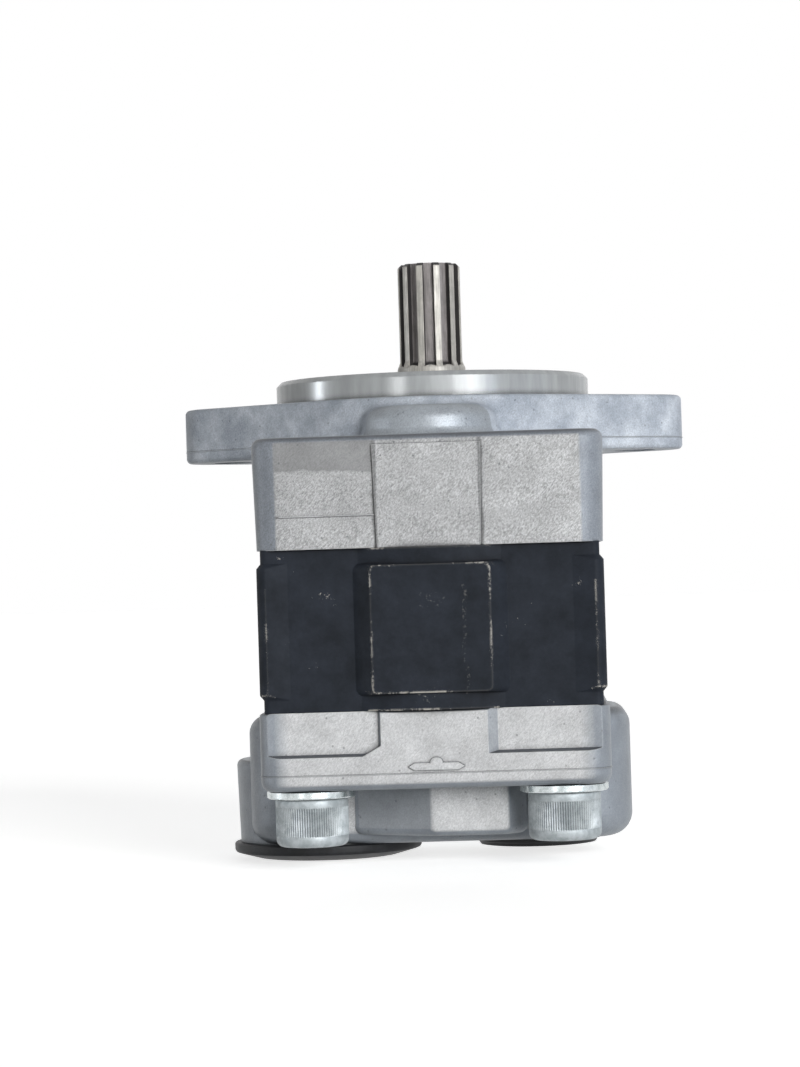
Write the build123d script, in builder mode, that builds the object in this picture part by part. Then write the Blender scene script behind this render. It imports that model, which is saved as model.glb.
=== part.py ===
from build123d import *
import math
import os

# External gear pump with a two-bolt mounting flange, a splined drive shaft and
# two rear ports. All sizes are millimetres. The origin is on the drive shaft's
# axis in the mounting face. +Z points along the shaft, away from the pump, +X
# through one flange ear, and the driven gear lies on the -Y side.

# Gear pair: equal spur gears with involute flanks
gear_module = 3.175
gear_teeth = 12
pressure_angle = 25.0
addendum_factor = 1.0
dedendum_factor = 1.25
tooth_backlash = 0.12
tip_clearance = 0.06

# Shafts and bearings
journal_radius = 10.0
journal_clearance = 0.03
journal_chamfer = 0.6
bush_wall = 2.0
bush_length = 24.0
bush_recess = 0.5
bush_chamfer = 0.4
bore_end_gap = 3.0
seat_gap = 0.02

# Drive shaft outside the pump
seal_land_radius = 9.0
shaft_passage_radius = 10.8
shaft_length = 36.8
shaft_end_chamfer = 0.9
spline_teeth = 11
spline_outer_radius = 8.25
spline_root_radius = 6.6
spline_tip_angle = 11.5
spline_root_angle = 19.0
spline_runout_radius = 3.2
spline_runout_gap = 2.6
spline_cutter_margin = 0.6
spline_cutter_overrun = 1.0
seal_land_gap = 2.8
seal_land_taper = 1.8
centre_hole_radius = 2.0
centre_hole_depth = 4.0

# Castings, seen along the shaft
body_width = 85.0
body_length = 110.0
body_corner_radius = 6.0
casting_draft = 1.5
bolt_inset_x = 11.3
bolt_inset_y = 12.0

# Castings, along the shaft
front_cover_depth = 38.3
housing_length = 39.8
rear_block_depth = 19.3
port_boss_depth = 35.0

# Mounting flange and pilot
pilot_radius = 41.275
pilot_height = 6.35
pilot_edge_chamfer = 1.2
flange_bolt_spacing = 106.4
flange_bolt_radius = 5.55
flange_ear_radius = 12.6
flange_centre_radius = 44.6
flange_thickness = 14.2
flange_edge_radius = 1.3

# Front cover details
block_step = 10.7
block_edge_radius = 2.4
flange_root_radius = 2.6
driven_boss_radius = 18.6
driven_boss_drop = 2.6
driven_boss_edge = 4.0
driven_boss_draft = 8.0
cover_panel_width = 25.4
cover_panel_proud = 0.45

# Housing details
band_height = 3.2
band_slope = 1.2
band_inset = 1.0
housing_corner_radius = 2.6
lug_foot_inset = 7.7
lug_top_inset = 2.0
housing_pad_width = 29.2
housing_pad_proud = 2.3
housing_pad_slope = 4.2
housing_pad_end = 0.5
housing_pad_end_slope = 0.5
housing_pad_corner = 1.5
band_bulge_width = 35.0
band_bulge_proud = 1.8

# Rear cover: bolt block
rear_block_proud = 0.5
rear_edge_radius = 2.6
rear_joint_edge = 0.8
rear_pocket_start = 13.1
rear_pocket_depth = 1.4
rear_pocket_height = 11.0
rear_pocket_ledge = 0.7
left_pocket_slope = 0.6
right_pocket_slope = 2.4
pocket_gusset_length = 4.6
pocket_gusset_height = 2.6

# Rear cover: port body and bearing plateau
port_body_width = 97.4
port_body_length = 52.0
port_body_corner = 14.0
port_body_drop = 2.0
port_shoulder_radius = 4.6
port_end_radius = 6.0
plateau_height = 13.0
plateau_reach = 38.0
plateau_half_width = 22.0
plateau_near_x = 17.5
plateau_far_x = 15.0
plateau_break_x = -1.5
plateau_break_depth = 12.0
plateau_corner_cut = 5.5
plateau_corner_radius = 3.0
plateau_edge_radius = 2.2

# Ports in the rear cover
suction_port_x = -30.0
suction_boss_radius = 22.6
suction_boss_height = 21.4
suction_thread_radius = 15.55
suction_mouth_radius = 17.6
suction_lobe_x = -19.5
suction_lobe_radius = 9.0
pressure_port_x = 24.5
pressure_boss_radius = 21.5
pressure_boss_height = 12.0
pressure_thread_radius = 12.5
pressure_mouth_radius = 14.4
pressure_lobe_x = 15.5
pressure_lobe_radius = 7.5
port_thread_depth = 21.0
port_mouth_depth = 5.0
boss_edge_radius = 1.6

# Port caps
cap_fit_gap = 0.2
cap_spigot_length = 3.8
cap_spigot_wall = 2.6
suction_cap_radius = 24.25
suction_cap_rim = 2.6
suction_cap_flat_radius = 18.0
suction_cap_height = 4.2
pressure_cap_radius = 16.4
pressure_cap_rim = 1.4
pressure_cap_flat_radius = 14.6
pressure_cap_height = 2.4
cap_edge_radius = 0.5

# Cover bolts, washers and dowels
bolt_radius = 6.0
bolt_length = 80.0
bolt_hole_radius = 6.5
tapped_hole_gap = 0.05
tapped_hole_spare = 3.5
bolt_head_radius = 9.0
bolt_head_height = 12.0
bolt_head_edge = 1.0
bolt_end_chamfer = 1.0
hex_across_flats = 10.0
hex_depth = 6.0
washer_radius = 11.0
washer_thickness = 2.0
washer_hole_radius = 6.6
washer_edge = 0.3
washer_clearance = 0.4
dowel_radius = 3.0
dowel_length = 12.0
dowel_inset_x = 6.2
dowel_inset_y = 28.0
dowel_chamfer = 0.5
dowel_hole_spare = 1.0

# Side plates and their seals
plate_thickness = 5.0
plate_gap = 0.05
plate_bore_gap = 0.6
plate_seal_outer = 19.6
plate_seal_width = 2.4
plate_seal_depth = 2.0
plate_seal_reach = 5.0
relief_slot_width = 5.0
relief_slot_depth = 1.5
relief_slot_start = 3.0
relief_slot_end = 9.0
relief_slot_radius = 1.5

# Seals between the castings
ring_seal_width = 2.4
ring_seal_depth = 1.8
ring_seal_land = 3.5
ring_seal_corner = 5.0
ring_seal_side_gap = 0.05

# Shaft seal
seal_bore_radius = 19.0
seal_bore_depth = 10.5
seal_height = 8.0
seal_case_wall = 1.2
seal_disc_inner_radius = 12.8
seal_lip_clearance = 0.05
seal_web_thickness = 1.3
seal_sleeve_wall = 1.5
seal_sleeve_gap = 1.2
seal_sleeve_length = 4.4
seal_lip_length = 2.4
spring_wire_radius = 0.75
snap_ring_thickness = 1.2
snap_ring_width = 3.0
snap_ring_groove_depth = 1.2
snap_ring_gap_angle = 34.0
snap_ring_ear_radius = 2.3
snap_ring_ear_reach = 16.2
snap_ring_ear_hole_radius = 1.0
snap_ring_clearance = 0.05

# Heights that follow from the sizes above
front_joint_z = -front_cover_depth
rear_joint_z = front_joint_z - housing_length
bolt_seat_z = rear_joint_z - rear_block_depth
port_face_z = rear_joint_z - port_boss_depth
block_height = front_cover_depth - block_step
plate_stack = plate_thickness + 2 * plate_gap
gear_top_z = front_joint_z - plate_stack
gear_bottom_z = rear_joint_z + plate_stack
gear_width = gear_top_z - gear_bottom_z
front_bush_z = front_joint_z + bush_recess
rear_bush_z = rear_joint_z - bush_recess
front_bore_end_z = front_bush_z + bush_length + bore_end_gap
rear_bore_end_z = rear_bush_z - bush_length - bore_end_gap
seal_floor_z = pilot_height - seal_bore_depth
seal_top_z = seal_floor_z + seal_height
band_length = housing_length - 2 * band_height
rear_journal_end_z = rear_bush_z - bush_length - journal_chamfer
front_journal_end_z = front_bush_z + bush_length + journal_chamfer
seal_land_end_z = pilot_height + seal_land_gap
head_seat_z = bolt_seat_z - washer_thickness
pocket_foot_z = rear_joint_z - rear_pocket_height
web_top_z = seal_top_z - seal_case_wall
spring_z = web_top_z - seal_sleeve_length
runout_angle = math.acos(
    1 - (spline_outer_radius + spline_cutter_margin - spline_root_radius) / spline_runout_radius
)
spline_end_z = pilot_height + spline_runout_gap
runout_z = spline_end_z + spline_runout_radius * math.sin(runout_angle)

# Places and radii that follow from the sizes above
centre_distance = gear_module * gear_teeth
pitch_radius = centre_distance / 2
tip_radius = pitch_radius + addendum_factor * gear_module
root_radius = pitch_radius - dedendum_factor * gear_module
base_radius = pitch_radius * math.cos(math.radians(pressure_angle))
gear_bore_radius = tip_radius + tip_clearance
lobe_loop_radius = max(suction_lobe_radius, pressure_lobe_radius) + ring_seal_land
bush_inner_radius = journal_radius + journal_clearance
bush_outer_radius = bush_inner_radius + bush_wall
bush_bore_radius = bush_outer_radius + seat_gap
body_mid_y = -centre_distance / 2
body_near_y = body_mid_y - body_length / 2
band_near_y = body_near_y + band_inset
rear_near_y = body_near_y - rear_block_proud
middle_plane = Plane.XZ.offset(-body_mid_y)
driven_y = -centre_distance
sleeve_inner_radius = seal_land_radius + seal_sleeve_gap
sleeve_outer_radius = sleeve_inner_radius + seal_sleeve_wall
spring_radius = sleeve_outer_radius
spline_mouth_radius = spline_outer_radius + spline_cutter_margin
spline_phase = -90.0
gear_phase = -math.pi / 2
drive_axis = (0, 0)
driven_axis = (0, driven_y)
suction_port = (suction_port_x, body_mid_y)
pressure_port = (pressure_port_x, body_mid_y)
suction_lobe = (suction_lobe_x, body_mid_y)
pressure_lobe = (pressure_lobe_x, body_mid_y)
bolt_places = [
    (x * (body_width / 2 - bolt_inset_x), body_mid_y + y * (body_length / 2 - bolt_inset_y))
    for x, y in ((-1, -1), (1, -1), (-1, 1), (1, 1))
]
dowel_x = body_width / 2 - dowel_inset_x
dowel_y = body_length / 2 - dowel_inset_y
dowel_places = [(-dowel_x, body_mid_y - dowel_y), (dowel_x, body_mid_y + dowel_y)]


def involute_angle(radius):
    """Polar angle in radians that an involute has turned through at a radius."""
    alpha = math.acos(min(1.0, base_radius / radius))
    return math.tan(alpha) - alpha


def polar(radius, angle):
    """Point at a radius and an angle in radians."""
    return (radius * math.cos(angle), radius * math.sin(angle))


def gear_wire(start_angle):
    """Closed outline of one gear, with a tooth centred on start_angle in radians."""
    tooth_pitch = 2 * math.pi / gear_teeth
    pitch_half = (math.pi / 2 * gear_module - tooth_backlash / 2) / 2 / pitch_radius
    base_half = pitch_half + involute_angle(pitch_radius)
    middle_radius = (base_radius + tip_radius) / 2
    for tooth in range(gear_teeth):
        middle = start_angle + tooth * tooth_pitch
        right = [
            polar(r, middle - base_half + involute_angle(r))
            for r in (base_radius, middle_radius, tip_radius)
        ]
        left = [
            polar(r, middle + base_half - involute_angle(r))
            for r in (tip_radius, middle_radius, base_radius)
        ]
        next_root = polar(base_radius, middle + tooth_pitch - base_half)
        ThreePointArc(*right)
        ThreePointArc(right[-1], polar(tip_radius, middle), left[0])
        ThreePointArc(*left)
        ThreePointArc(left[-1], polar(root_radius, middle + tooth_pitch / 2), next_root)


def ring_outline(outer, inner):
    """Ring between two offsets of the joint seal's inner edge."""
    add(offset(seal_loop.sketch, amount=outer, mode=Mode.PRIVATE))
    add(offset(seal_loop.sketch, amount=inner, mode=Mode.PRIVATE), mode=Mode.SUBTRACT)


# Inner edge of the joint seals: a cross-shaped loop round the gear bores and port lobes
with BuildSketch() as seal_loop:
    with Locations((0, body_mid_y)):
        SlotCenterToCenter(centre_distance, 2 * (gear_bore_radius + ring_seal_land), rotation=90)
    with Locations(((suction_lobe_x + pressure_lobe_x) / 2, body_mid_y)):
        SlotCenterToCenter(pressure_lobe_x - suction_lobe_x, 2 * lobe_loop_radius)
    inner_corners = vertices().filter_by_position(
        Axis.Y, body_mid_y - lobe_loop_radius, body_mid_y + lobe_loop_radius
    )
    fillet(inner_corners, ring_seal_corner)

# Front cover: flange, pilot and joint block in one casting
with BuildPart() as flange_plate:
    with BuildSketch(Plane.XY.offset(-flange_thickness)):
        Circle(flange_centre_radius)
        with GridLocations(flange_bolt_spacing, 1, 2, 1):
            Circle(flange_ear_radius)
        make_hull()
    extrude(amount=flange_thickness)
    fillet(faces().sort_by(Axis.Z)[0].edges(), flange_edge_radius)
    fillet(faces().sort_by(Axis.Z)[-1].edges(), flange_edge_radius)

with BuildPart() as joint_block:
    with BuildSketch(Plane.XY.offset(front_joint_z)):
        with Locations((0, body_mid_y)):
            RectangleRounded(body_width, body_length, body_corner_radius)
    extrude(amount=block_height, taper=-casting_draft)
    fillet(faces().sort_by(Axis.Z)[-1].edges(), block_edge_radius)
    with BuildSketch(Plane.XY.offset(front_joint_z)):
        with Locations((0, body_near_y - cover_panel_proud)):
            Rectangle(cover_panel_width, body_corner_radius, align=(Align.CENTER, Align.MIN))
    extrude(amount=block_height - block_edge_radius, taper=-casting_draft)

with BuildPart() as driven_boss:
    with BuildSketch(Plane.XY.offset(-flange_thickness)):
        with Locations(driven_axis):
            Circle(driven_boss_radius)
    extrude(amount=flange_thickness - driven_boss_drop, taper=driven_boss_draft)
    fillet(faces().sort_by(Axis.Z)[-1].edges(), driven_boss_edge)

with BuildPart() as front_cover:
    add(flange_plate.part)
    add(joint_block.part)
    add(driven_boss.part)
    # Cast fillets where the flange and the boss rise from the block's top
    step_edges = edges().filter_by_position(Axis.Z, -block_step - seat_gap, -block_step + seat_gap)
    boss_joints = (
        edges()
        .filter_by(GeomType.BSPLINE)
        .filter_by_position(Axis.X, -driven_boss_radius, driven_boss_radius)
        .filter_by_position(Axis.Z, -block_step, -driven_boss_drop)
    )
    fillet(step_edges + boss_joints, flange_root_radius)
    with BuildSketch():
        Circle(pilot_radius)
    extrude(amount=pilot_height)
    chamfer(faces().sort_by(Axis.Z)[-1].edges(), pilot_edge_chamfer)
    with Locations((-flange_bolt_spacing / 2, 0, 0), (flange_bolt_spacing / 2, 0, 0)):
        Cylinder(
            flange_bolt_radius,
            flange_thickness,
            align=(Align.CENTER, Align.CENTER, Align.MAX),
            mode=Mode.SUBTRACT,
        )
    # Bush bores and the way through for the drive shaft
    with BuildSketch(Plane.XY.offset(front_joint_z)):
        with Locations(drive_axis, driven_axis):
            Circle(bush_bore_radius)
    extrude(amount=front_bore_end_z - front_joint_z, mode=Mode.SUBTRACT)
    with BuildSketch(Plane.XY.offset(front_joint_z)):
        Circle(shaft_passage_radius)
    extrude(amount=front_cover_depth + pilot_height, mode=Mode.SUBTRACT)
    # Seal bore with its snap ring groove
    with BuildSketch(Plane.XY.offset(pilot_height)):
        Circle(seal_bore_radius + seat_gap)
    extrude(amount=-seal_bore_depth, mode=Mode.SUBTRACT)
    with BuildSketch(Plane.XY.offset(seal_top_z + snap_ring_clearance)):
        Circle(seal_bore_radius + snap_ring_groove_depth + snap_ring_clearance)
    extrude(amount=snap_ring_thickness + 2 * snap_ring_clearance, mode=Mode.SUBTRACT)
    # Blind tapped holes for the cover bolts
    with BuildSketch(Plane.XY.offset(front_joint_z)):
        with Locations(*bolt_places):
            Circle(bolt_radius + tapped_hole_gap)
    extrude(
        amount=head_seat_z + bolt_length + tapped_hole_spare - front_joint_z,
        mode=Mode.SUBTRACT,
    )
    with BuildSketch(Plane.XY.offset(front_joint_z)):
        with Locations(*dowel_places):
            Circle(dowel_radius + seat_gap)
    extrude(amount=dowel_length / 2 + dowel_hole_spare, mode=Mode.SUBTRACT)
    # Groove for the joint seal
    with BuildSketch(Plane.XY.offset(front_joint_z)):
        ring_outline(ring_seal_width + ring_seal_side_gap, -ring_seal_side_gap)
    extrude(amount=ring_seal_depth, mode=Mode.SUBTRACT)
front_cover.part.label = "front_cover"

# Gear housing: a middle band that stands proud at its corners and sides, and a pad and
# a shallow bulge behind each gear
with BuildPart() as middle_band:
    with BuildSketch(Plane.XY.offset(rear_joint_z + band_height)):
        with Locations((0, body_mid_y)):
            RectangleRounded(body_width, body_length, housing_corner_radius)
    extrude(amount=band_length)
    chamfer(faces().sort_by(Axis.Z)[-1].edges(), band_slope, band_inset)
    chamfer(faces().sort_by(Axis.Z)[0].edges(), band_slope, band_inset)
    with BuildSketch(Plane.XY.offset(rear_joint_z)):
        with BuildLine():
            Polyline(
                (-body_width / 2 + lug_top_inset, body_near_y - band_inset),
                (-body_width / 2 + lug_top_inset, body_near_y),
                (-body_width / 2 + lug_foot_inset, band_near_y),
                (body_width / 2 - lug_foot_inset, band_near_y),
                (body_width / 2 - lug_top_inset, body_near_y),
                (body_width / 2 - lug_top_inset, body_near_y - band_inset),
                close=True,
            )
        make_face()
        mirror(about=middle_plane)
    extrude(amount=housing_length, mode=Mode.SUBTRACT)

with BuildPart() as gear_pads:
    with BuildSketch(Plane.XZ.offset(-band_near_y)):
        with Locations((0, (front_joint_z + rear_joint_z) / 2)):
            RectangleRounded(
                housing_pad_width + 2 * housing_pad_slope,
                band_length - 2 * housing_pad_end,
                housing_pad_corner + housing_pad_end_slope,
            )
    with BuildSketch(Plane.XZ.offset(-body_near_y + housing_pad_proud)):
        with Locations((0, (front_joint_z + rear_joint_z) / 2)):
            RectangleRounded(
                housing_pad_width,
                band_length - 2 * housing_pad_end - 2 * housing_pad_end_slope,
                housing_pad_corner,
            )
    loft()
    with BuildSketch(Plane.XY.offset(rear_joint_z)):
        with BuildLine():
            ThreePointArc(
                (-band_bulge_width / 2, band_near_y),
                (0, body_near_y - band_bulge_proud),
                (band_bulge_width / 2, band_near_y),
            )
            Line((band_bulge_width / 2, band_near_y), (-band_bulge_width / 2, band_near_y))
        make_face()
    extrude(amount=housing_length)
    mirror(about=middle_plane)

with BuildPart() as gear_housing:
    with BuildSketch(Plane.XY.offset(rear_joint_z)):
        with Locations((0, body_mid_y)):
            RectangleRounded(
                body_width - 2 * band_inset,
                body_length - 2 * band_inset,
                housing_corner_radius - band_inset,
            )
    extrude(amount=housing_length)
    add(middle_band.part)
    add(gear_pads.part)
    with BuildSketch(Plane.XY.offset(rear_joint_z)):
        with Locations(drive_axis, driven_axis):
            Circle(gear_bore_radius)
        for lobe, lobe_radius in (
            (suction_lobe, suction_lobe_radius),
            (pressure_lobe, pressure_lobe_radius),
        ):
            with Locations(lobe):
                Circle(lobe_radius)
            with Locations((lobe[0] / 2, body_mid_y)):
                Rectangle(abs(lobe[0]), 2 * lobe_radius)
    extrude(amount=housing_length, mode=Mode.SUBTRACT)
    with BuildSketch(Plane.XY.offset(rear_joint_z)):
        with Locations(*bolt_places):
            Circle(bolt_hole_radius)
        with Locations(*dowel_places):
            Circle(dowel_radius + seat_gap)
    extrude(amount=housing_length, mode=Mode.SUBTRACT)
gear_housing.part.label = "gear_housing"

# Cutters for the rear cover's pockets: their inner walls and their feet are sloped
with BuildPart() as pocket_cutters:
    for side, wall_slope in ((-1, left_pocket_slope), (1, right_pocket_slope)):
        for share in (0, 1):
            start_x = rear_pocket_start + share * wall_slope
            foot_z = pocket_foot_z + share * rear_pocket_ledge
            with BuildSketch(Plane.XZ.offset(-rear_near_y - share * rear_pocket_depth)):
                with BuildLine():
                    Polyline(
                        (side * start_x, rear_joint_z),
                        (side * start_x, foot_z),
                        (side * body_width, foot_z),
                        (side * body_width, rear_joint_z),
                        close=True,
                    )
                make_face()
        loft(ruled=True)
    mirror(about=middle_plane)

# Rear cover: bolt block, wider port body, port bosses and the bearing plateau
with BuildPart() as bolt_block:
    with BuildSketch(Plane.XY.offset(rear_joint_z)):
        with Locations((0, body_mid_y)):
            RectangleRounded(
                body_width + 2 * rear_block_proud,
                body_length + 2 * rear_block_proud,
                body_corner_radius,
            )
    extrude(amount=-rear_block_depth)
    fillet(faces().sort_by(Axis.Z)[0].edges(), rear_edge_radius)
    fillet(faces().sort_by(Axis.Z)[-1].edges(), rear_joint_edge)
    # Shallow pockets in the near and far faces, open at the joint and the corners
    add(pocket_cutters.part, mode=Mode.SUBTRACT)
    # Small gusset in the foot of the near face's left pocket
    with BuildSketch(Plane.XZ.offset(-rear_near_y - rear_pocket_depth)):
        with BuildLine():
            Polyline(
                (-rear_pocket_start, pocket_foot_z),
                (-rear_pocket_start - pocket_gusset_length, pocket_foot_z),
                (-rear_pocket_start, pocket_foot_z + pocket_gusset_height),
                close=True,
            )
        make_face()
    extrude(amount=rear_pocket_depth)

with BuildPart() as port_body:
    with BuildSketch(Plane.XY.offset(rear_joint_z - port_body_drop)):
        with Locations((0, body_mid_y)):
            RectangleRounded(port_body_width, port_body_length, port_body_corner)
    extrude(amount=port_body_drop - port_boss_depth)
    fillet(faces().sort_by(Axis.Z)[-1].edges(), port_shoulder_radius)
    fillet(faces().sort_by(Axis.Z)[0].edges(), port_end_radius)

with BuildPart() as suction_boss:
    with BuildSketch(Plane.XY.offset(port_face_z)):
        with Locations(suction_port):
            Circle(suction_boss_radius)
    extrude(amount=suction_boss_height, taper=-casting_draft)
    fillet(faces().sort_by(Axis.Z)[-1].edges(), boss_edge_radius)

with BuildPart() as pressure_boss:
    with BuildSketch(Plane.XY.offset(port_face_z)):
        with Locations(pressure_port):
            Circle(pressure_boss_radius)
    extrude(amount=pressure_boss_height, taper=-casting_draft)

# Plateau over the rear bearings, with its near face broken back to the left
with BuildPart() as bearing_plateau:
    with BuildSketch(Plane.XY.offset(bolt_seat_z)):
        with BuildLine():
            Polyline(
                (plateau_break_x, body_mid_y - plateau_reach),
                (plateau_near_x, body_mid_y - plateau_reach),
                (plateau_half_width, body_mid_y - plateau_reach + plateau_corner_cut),
                (plateau_half_width, body_mid_y + plateau_reach - plateau_corner_cut),
                (plateau_far_x, body_mid_y + plateau_reach),
                (-plateau_far_x, body_mid_y + plateau_reach),
                (-plateau_half_width, body_mid_y + plateau_reach - plateau_corner_cut),
                (-plateau_half_width, body_mid_y - plateau_reach + plateau_break_depth),
                close=True,
            )
        make_face()
        fillet(vertices(), plateau_corner_radius)
    extrude(amount=-plateau_height)
    fillet(faces().sort_by(Axis.Z)[0].edges(), plateau_edge_radius)

with BuildPart() as rear_cover:
    add(bolt_block.part)
    add(port_body.part)
    add(suction_boss.part)
    add(pressure_boss.part)
    add(bearing_plateau.part)
    # Threaded ports: mouth, thread bore and the way up to the gears
    for port, mouth_radius, thread_radius, lobe, lobe_radius in (
        (suction_port, suction_mouth_radius, suction_thread_radius, suction_lobe, suction_lobe_radius),
        (pressure_port, pressure_mouth_radius, pressure_thread_radius, pressure_lobe, pressure_lobe_radius),
    ):
        with BuildSketch(Plane.XY.offset(port_face_z)):
            with Locations(port):
                Circle(mouth_radius)
        extrude(amount=port_mouth_depth, mode=Mode.SUBTRACT)
        with BuildSketch(Plane.XY.offset(port_face_z)):
            with Locations(port):
                Circle(thread_radius)
        extrude(amount=port_mouth_depth + port_thread_depth, mode=Mode.SUBTRACT)
        with BuildSketch(Plane.XY.offset(rear_joint_z)):
            with Locations(lobe):
                Circle(lobe_radius)
        extrude(amount=-(port_boss_depth - port_mouth_depth - port_thread_depth), mode=Mode.SUBTRACT)
    with BuildSketch(Plane.XY.offset(rear_joint_z)):
        with Locations(drive_axis, driven_axis):
            Circle(bush_bore_radius)
    extrude(amount=rear_bore_end_z - rear_joint_z, mode=Mode.SUBTRACT)
    with BuildSketch(Plane.XY.offset(rear_joint_z)):
        with Locations(*bolt_places):
            Circle(bolt_hole_radius)
    extrude(amount=-rear_block_depth, mode=Mode.SUBTRACT)
    # Room for the washers and the bolt heads beside the plateau and the port body
    with BuildSketch(Plane.XY.offset(bolt_seat_z)):
        with Locations(*bolt_places):
            Circle(washer_radius + washer_clearance)
    extrude(amount=rear_block_depth - port_boss_depth, mode=Mode.SUBTRACT)
    with BuildSketch(Plane.XY.offset(rear_joint_z)):
        with Locations(*dowel_places):
            Circle(dowel_radius + seat_gap)
    extrude(amount=-dowel_length / 2 - dowel_hole_spare, mode=Mode.SUBTRACT)
    with BuildSketch(Plane.XY.offset(rear_joint_z)):
        ring_outline(ring_seal_width + ring_seal_side_gap, -ring_seal_side_gap)
    extrude(amount=-ring_seal_depth, mode=Mode.SUBTRACT)
rear_cover.part.label = "rear_cover"

# One spline valley, seen along the shaft
with BuildSketch() as spline_valley:
    with BuildLine():
        floor_half = math.radians(spline_root_angle / 2)
        mouth_half = math.radians(180 / spline_teeth - spline_tip_angle / 2)
        ThreePointArc(
            polar(spline_root_radius, -floor_half),
            (spline_root_radius, 0),
            polar(spline_root_radius, floor_half),
        )
        Polyline(
            polar(spline_root_radius, floor_half),
            polar(spline_mouth_radius, mouth_half),
            polar(spline_mouth_radius, -mouth_half),
            polar(spline_root_radius, -floor_half),
        )
    make_face()

# Spline cutter: the valleys' floors run out in an arc above the seal land
with BuildPart() as spline_cutter:
    with BuildSketch(Plane.XY.offset(spline_end_z)):
        with PolarLocations(0, spline_teeth, start_angle=spline_phase):
            add(spline_valley.sketch)
    extrude(amount=shaft_length - spline_end_z + spline_cutter_overrun)
    with BuildSketch(Plane.XZ):
        with BuildLine():
            ThreePointArc(
                (spline_root_radius, runout_z),
                (
                    spline_root_radius + spline_runout_radius * (1 - math.cos(runout_angle / 2)),
                    runout_z - spline_runout_radius * math.sin(runout_angle / 2),
                ),
                (spline_mouth_radius, spline_end_z),
            )
            Polyline(
                (spline_mouth_radius, spline_end_z),
                (spline_mouth_radius + spline_cutter_overrun, spline_end_z),
                (spline_mouth_radius + spline_cutter_overrun, shaft_length + spline_cutter_overrun),
                (spline_root_radius, shaft_length + spline_cutter_overrun),
                (spline_root_radius, runout_z),
            )
        make_face()
    revolve(axis=Axis.Z, mode=Mode.INTERSECT)

# Drive gear and shaft, one forging: rear journal, gear, front journal, seal land, spline
with BuildPart() as drive_gear_shaft:
    with BuildSketch(Plane.XZ):
        with BuildLine():
            Polyline(
                (0, rear_journal_end_z),
                (journal_radius - journal_chamfer, rear_journal_end_z),
                (journal_radius, rear_journal_end_z + journal_chamfer),
                (journal_radius, front_journal_end_z - journal_chamfer),
                (journal_radius - journal_chamfer, front_journal_end_z),
                (seal_land_radius, front_journal_end_z),
                (seal_land_radius, seal_land_end_z),
                (spline_outer_radius, seal_land_end_z + seal_land_taper),
                (spline_outer_radius, shaft_length - shaft_end_chamfer),
                (spline_outer_radius - shaft_end_chamfer, shaft_length),
                (0, shaft_length),
                close=True,
            )
        make_face()
    revolve(axis=Axis.Z)
    with BuildSketch(Plane.XY.offset(gear_bottom_z)):
        with BuildLine():
            gear_wire(gear_phase)
        make_face()
    extrude(amount=gear_width)
    add(spline_cutter.part, mode=Mode.SUBTRACT)
    with Locations((0, 0, shaft_length)):
        Cone(
            0,
            centre_hole_radius,
            centre_hole_depth,
            align=(Align.CENTER, Align.CENTER, Align.MAX),
            mode=Mode.SUBTRACT,
        )
drive_gear_shaft.part.label = "drive_gear_shaft"

with BuildPart(Plane.XY.move(Location(driven_axis + (0,)))) as driven_gear_shaft:
    with BuildSketch(Plane.XY.offset(rear_journal_end_z).move(Location(driven_axis + (0,)))):
        Circle(journal_radius)
    extrude(amount=front_journal_end_z - rear_journal_end_z)
    chamfer(edges().filter_by(GeomType.CIRCLE), journal_chamfer)
    with BuildSketch(Plane.XY.offset(gear_bottom_z).move(Location(driven_axis + (0,)))):
        with BuildLine():
            gear_wire(gear_phase + math.pi / gear_teeth)
        make_face()
    extrude(amount=gear_width)
driven_gear_shaft.part.label = "driven_gear_shaft"

# Bearing bushes, pressed into both covers
bush_parts = []
for end, low_z in (("front", front_bush_z), ("rear", rear_bush_z - bush_length)):
    for gear, axis in (("drive", drive_axis), ("driven", driven_axis)):
        with BuildPart() as bush:
            with BuildSketch(Plane.XY.offset(low_z)):
                with Locations(axis):
                    Circle(bush_outer_radius)
                    Circle(bush_inner_radius, mode=Mode.SUBTRACT)
            extrude(amount=bush_length)
            chamfer(edges().filter_by(GeomType.CIRCLE).sort_by(SortBy.RADIUS)[-2:], bush_chamfer)
        bush.part.label = f"{end}_{gear}_bush"
        bush_parts.append(bush.part)

# Side plates and the rubber seals in their backs, on the covers' side
with BuildSketch() as plate_seal_shape:
    with Locations(drive_axis, driven_axis):
        Circle(plate_seal_outer)
    with Locations(drive_axis, driven_axis):
        Circle(plate_seal_outer - plate_seal_width, mode=Mode.SUBTRACT)
    with Locations((-plate_seal_reach, body_mid_y)):
        Rectangle(
            2 * body_width,
            2 * body_length,
            align=(Align.MAX, Align.CENTER),
            mode=Mode.SUBTRACT,
        )

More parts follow.
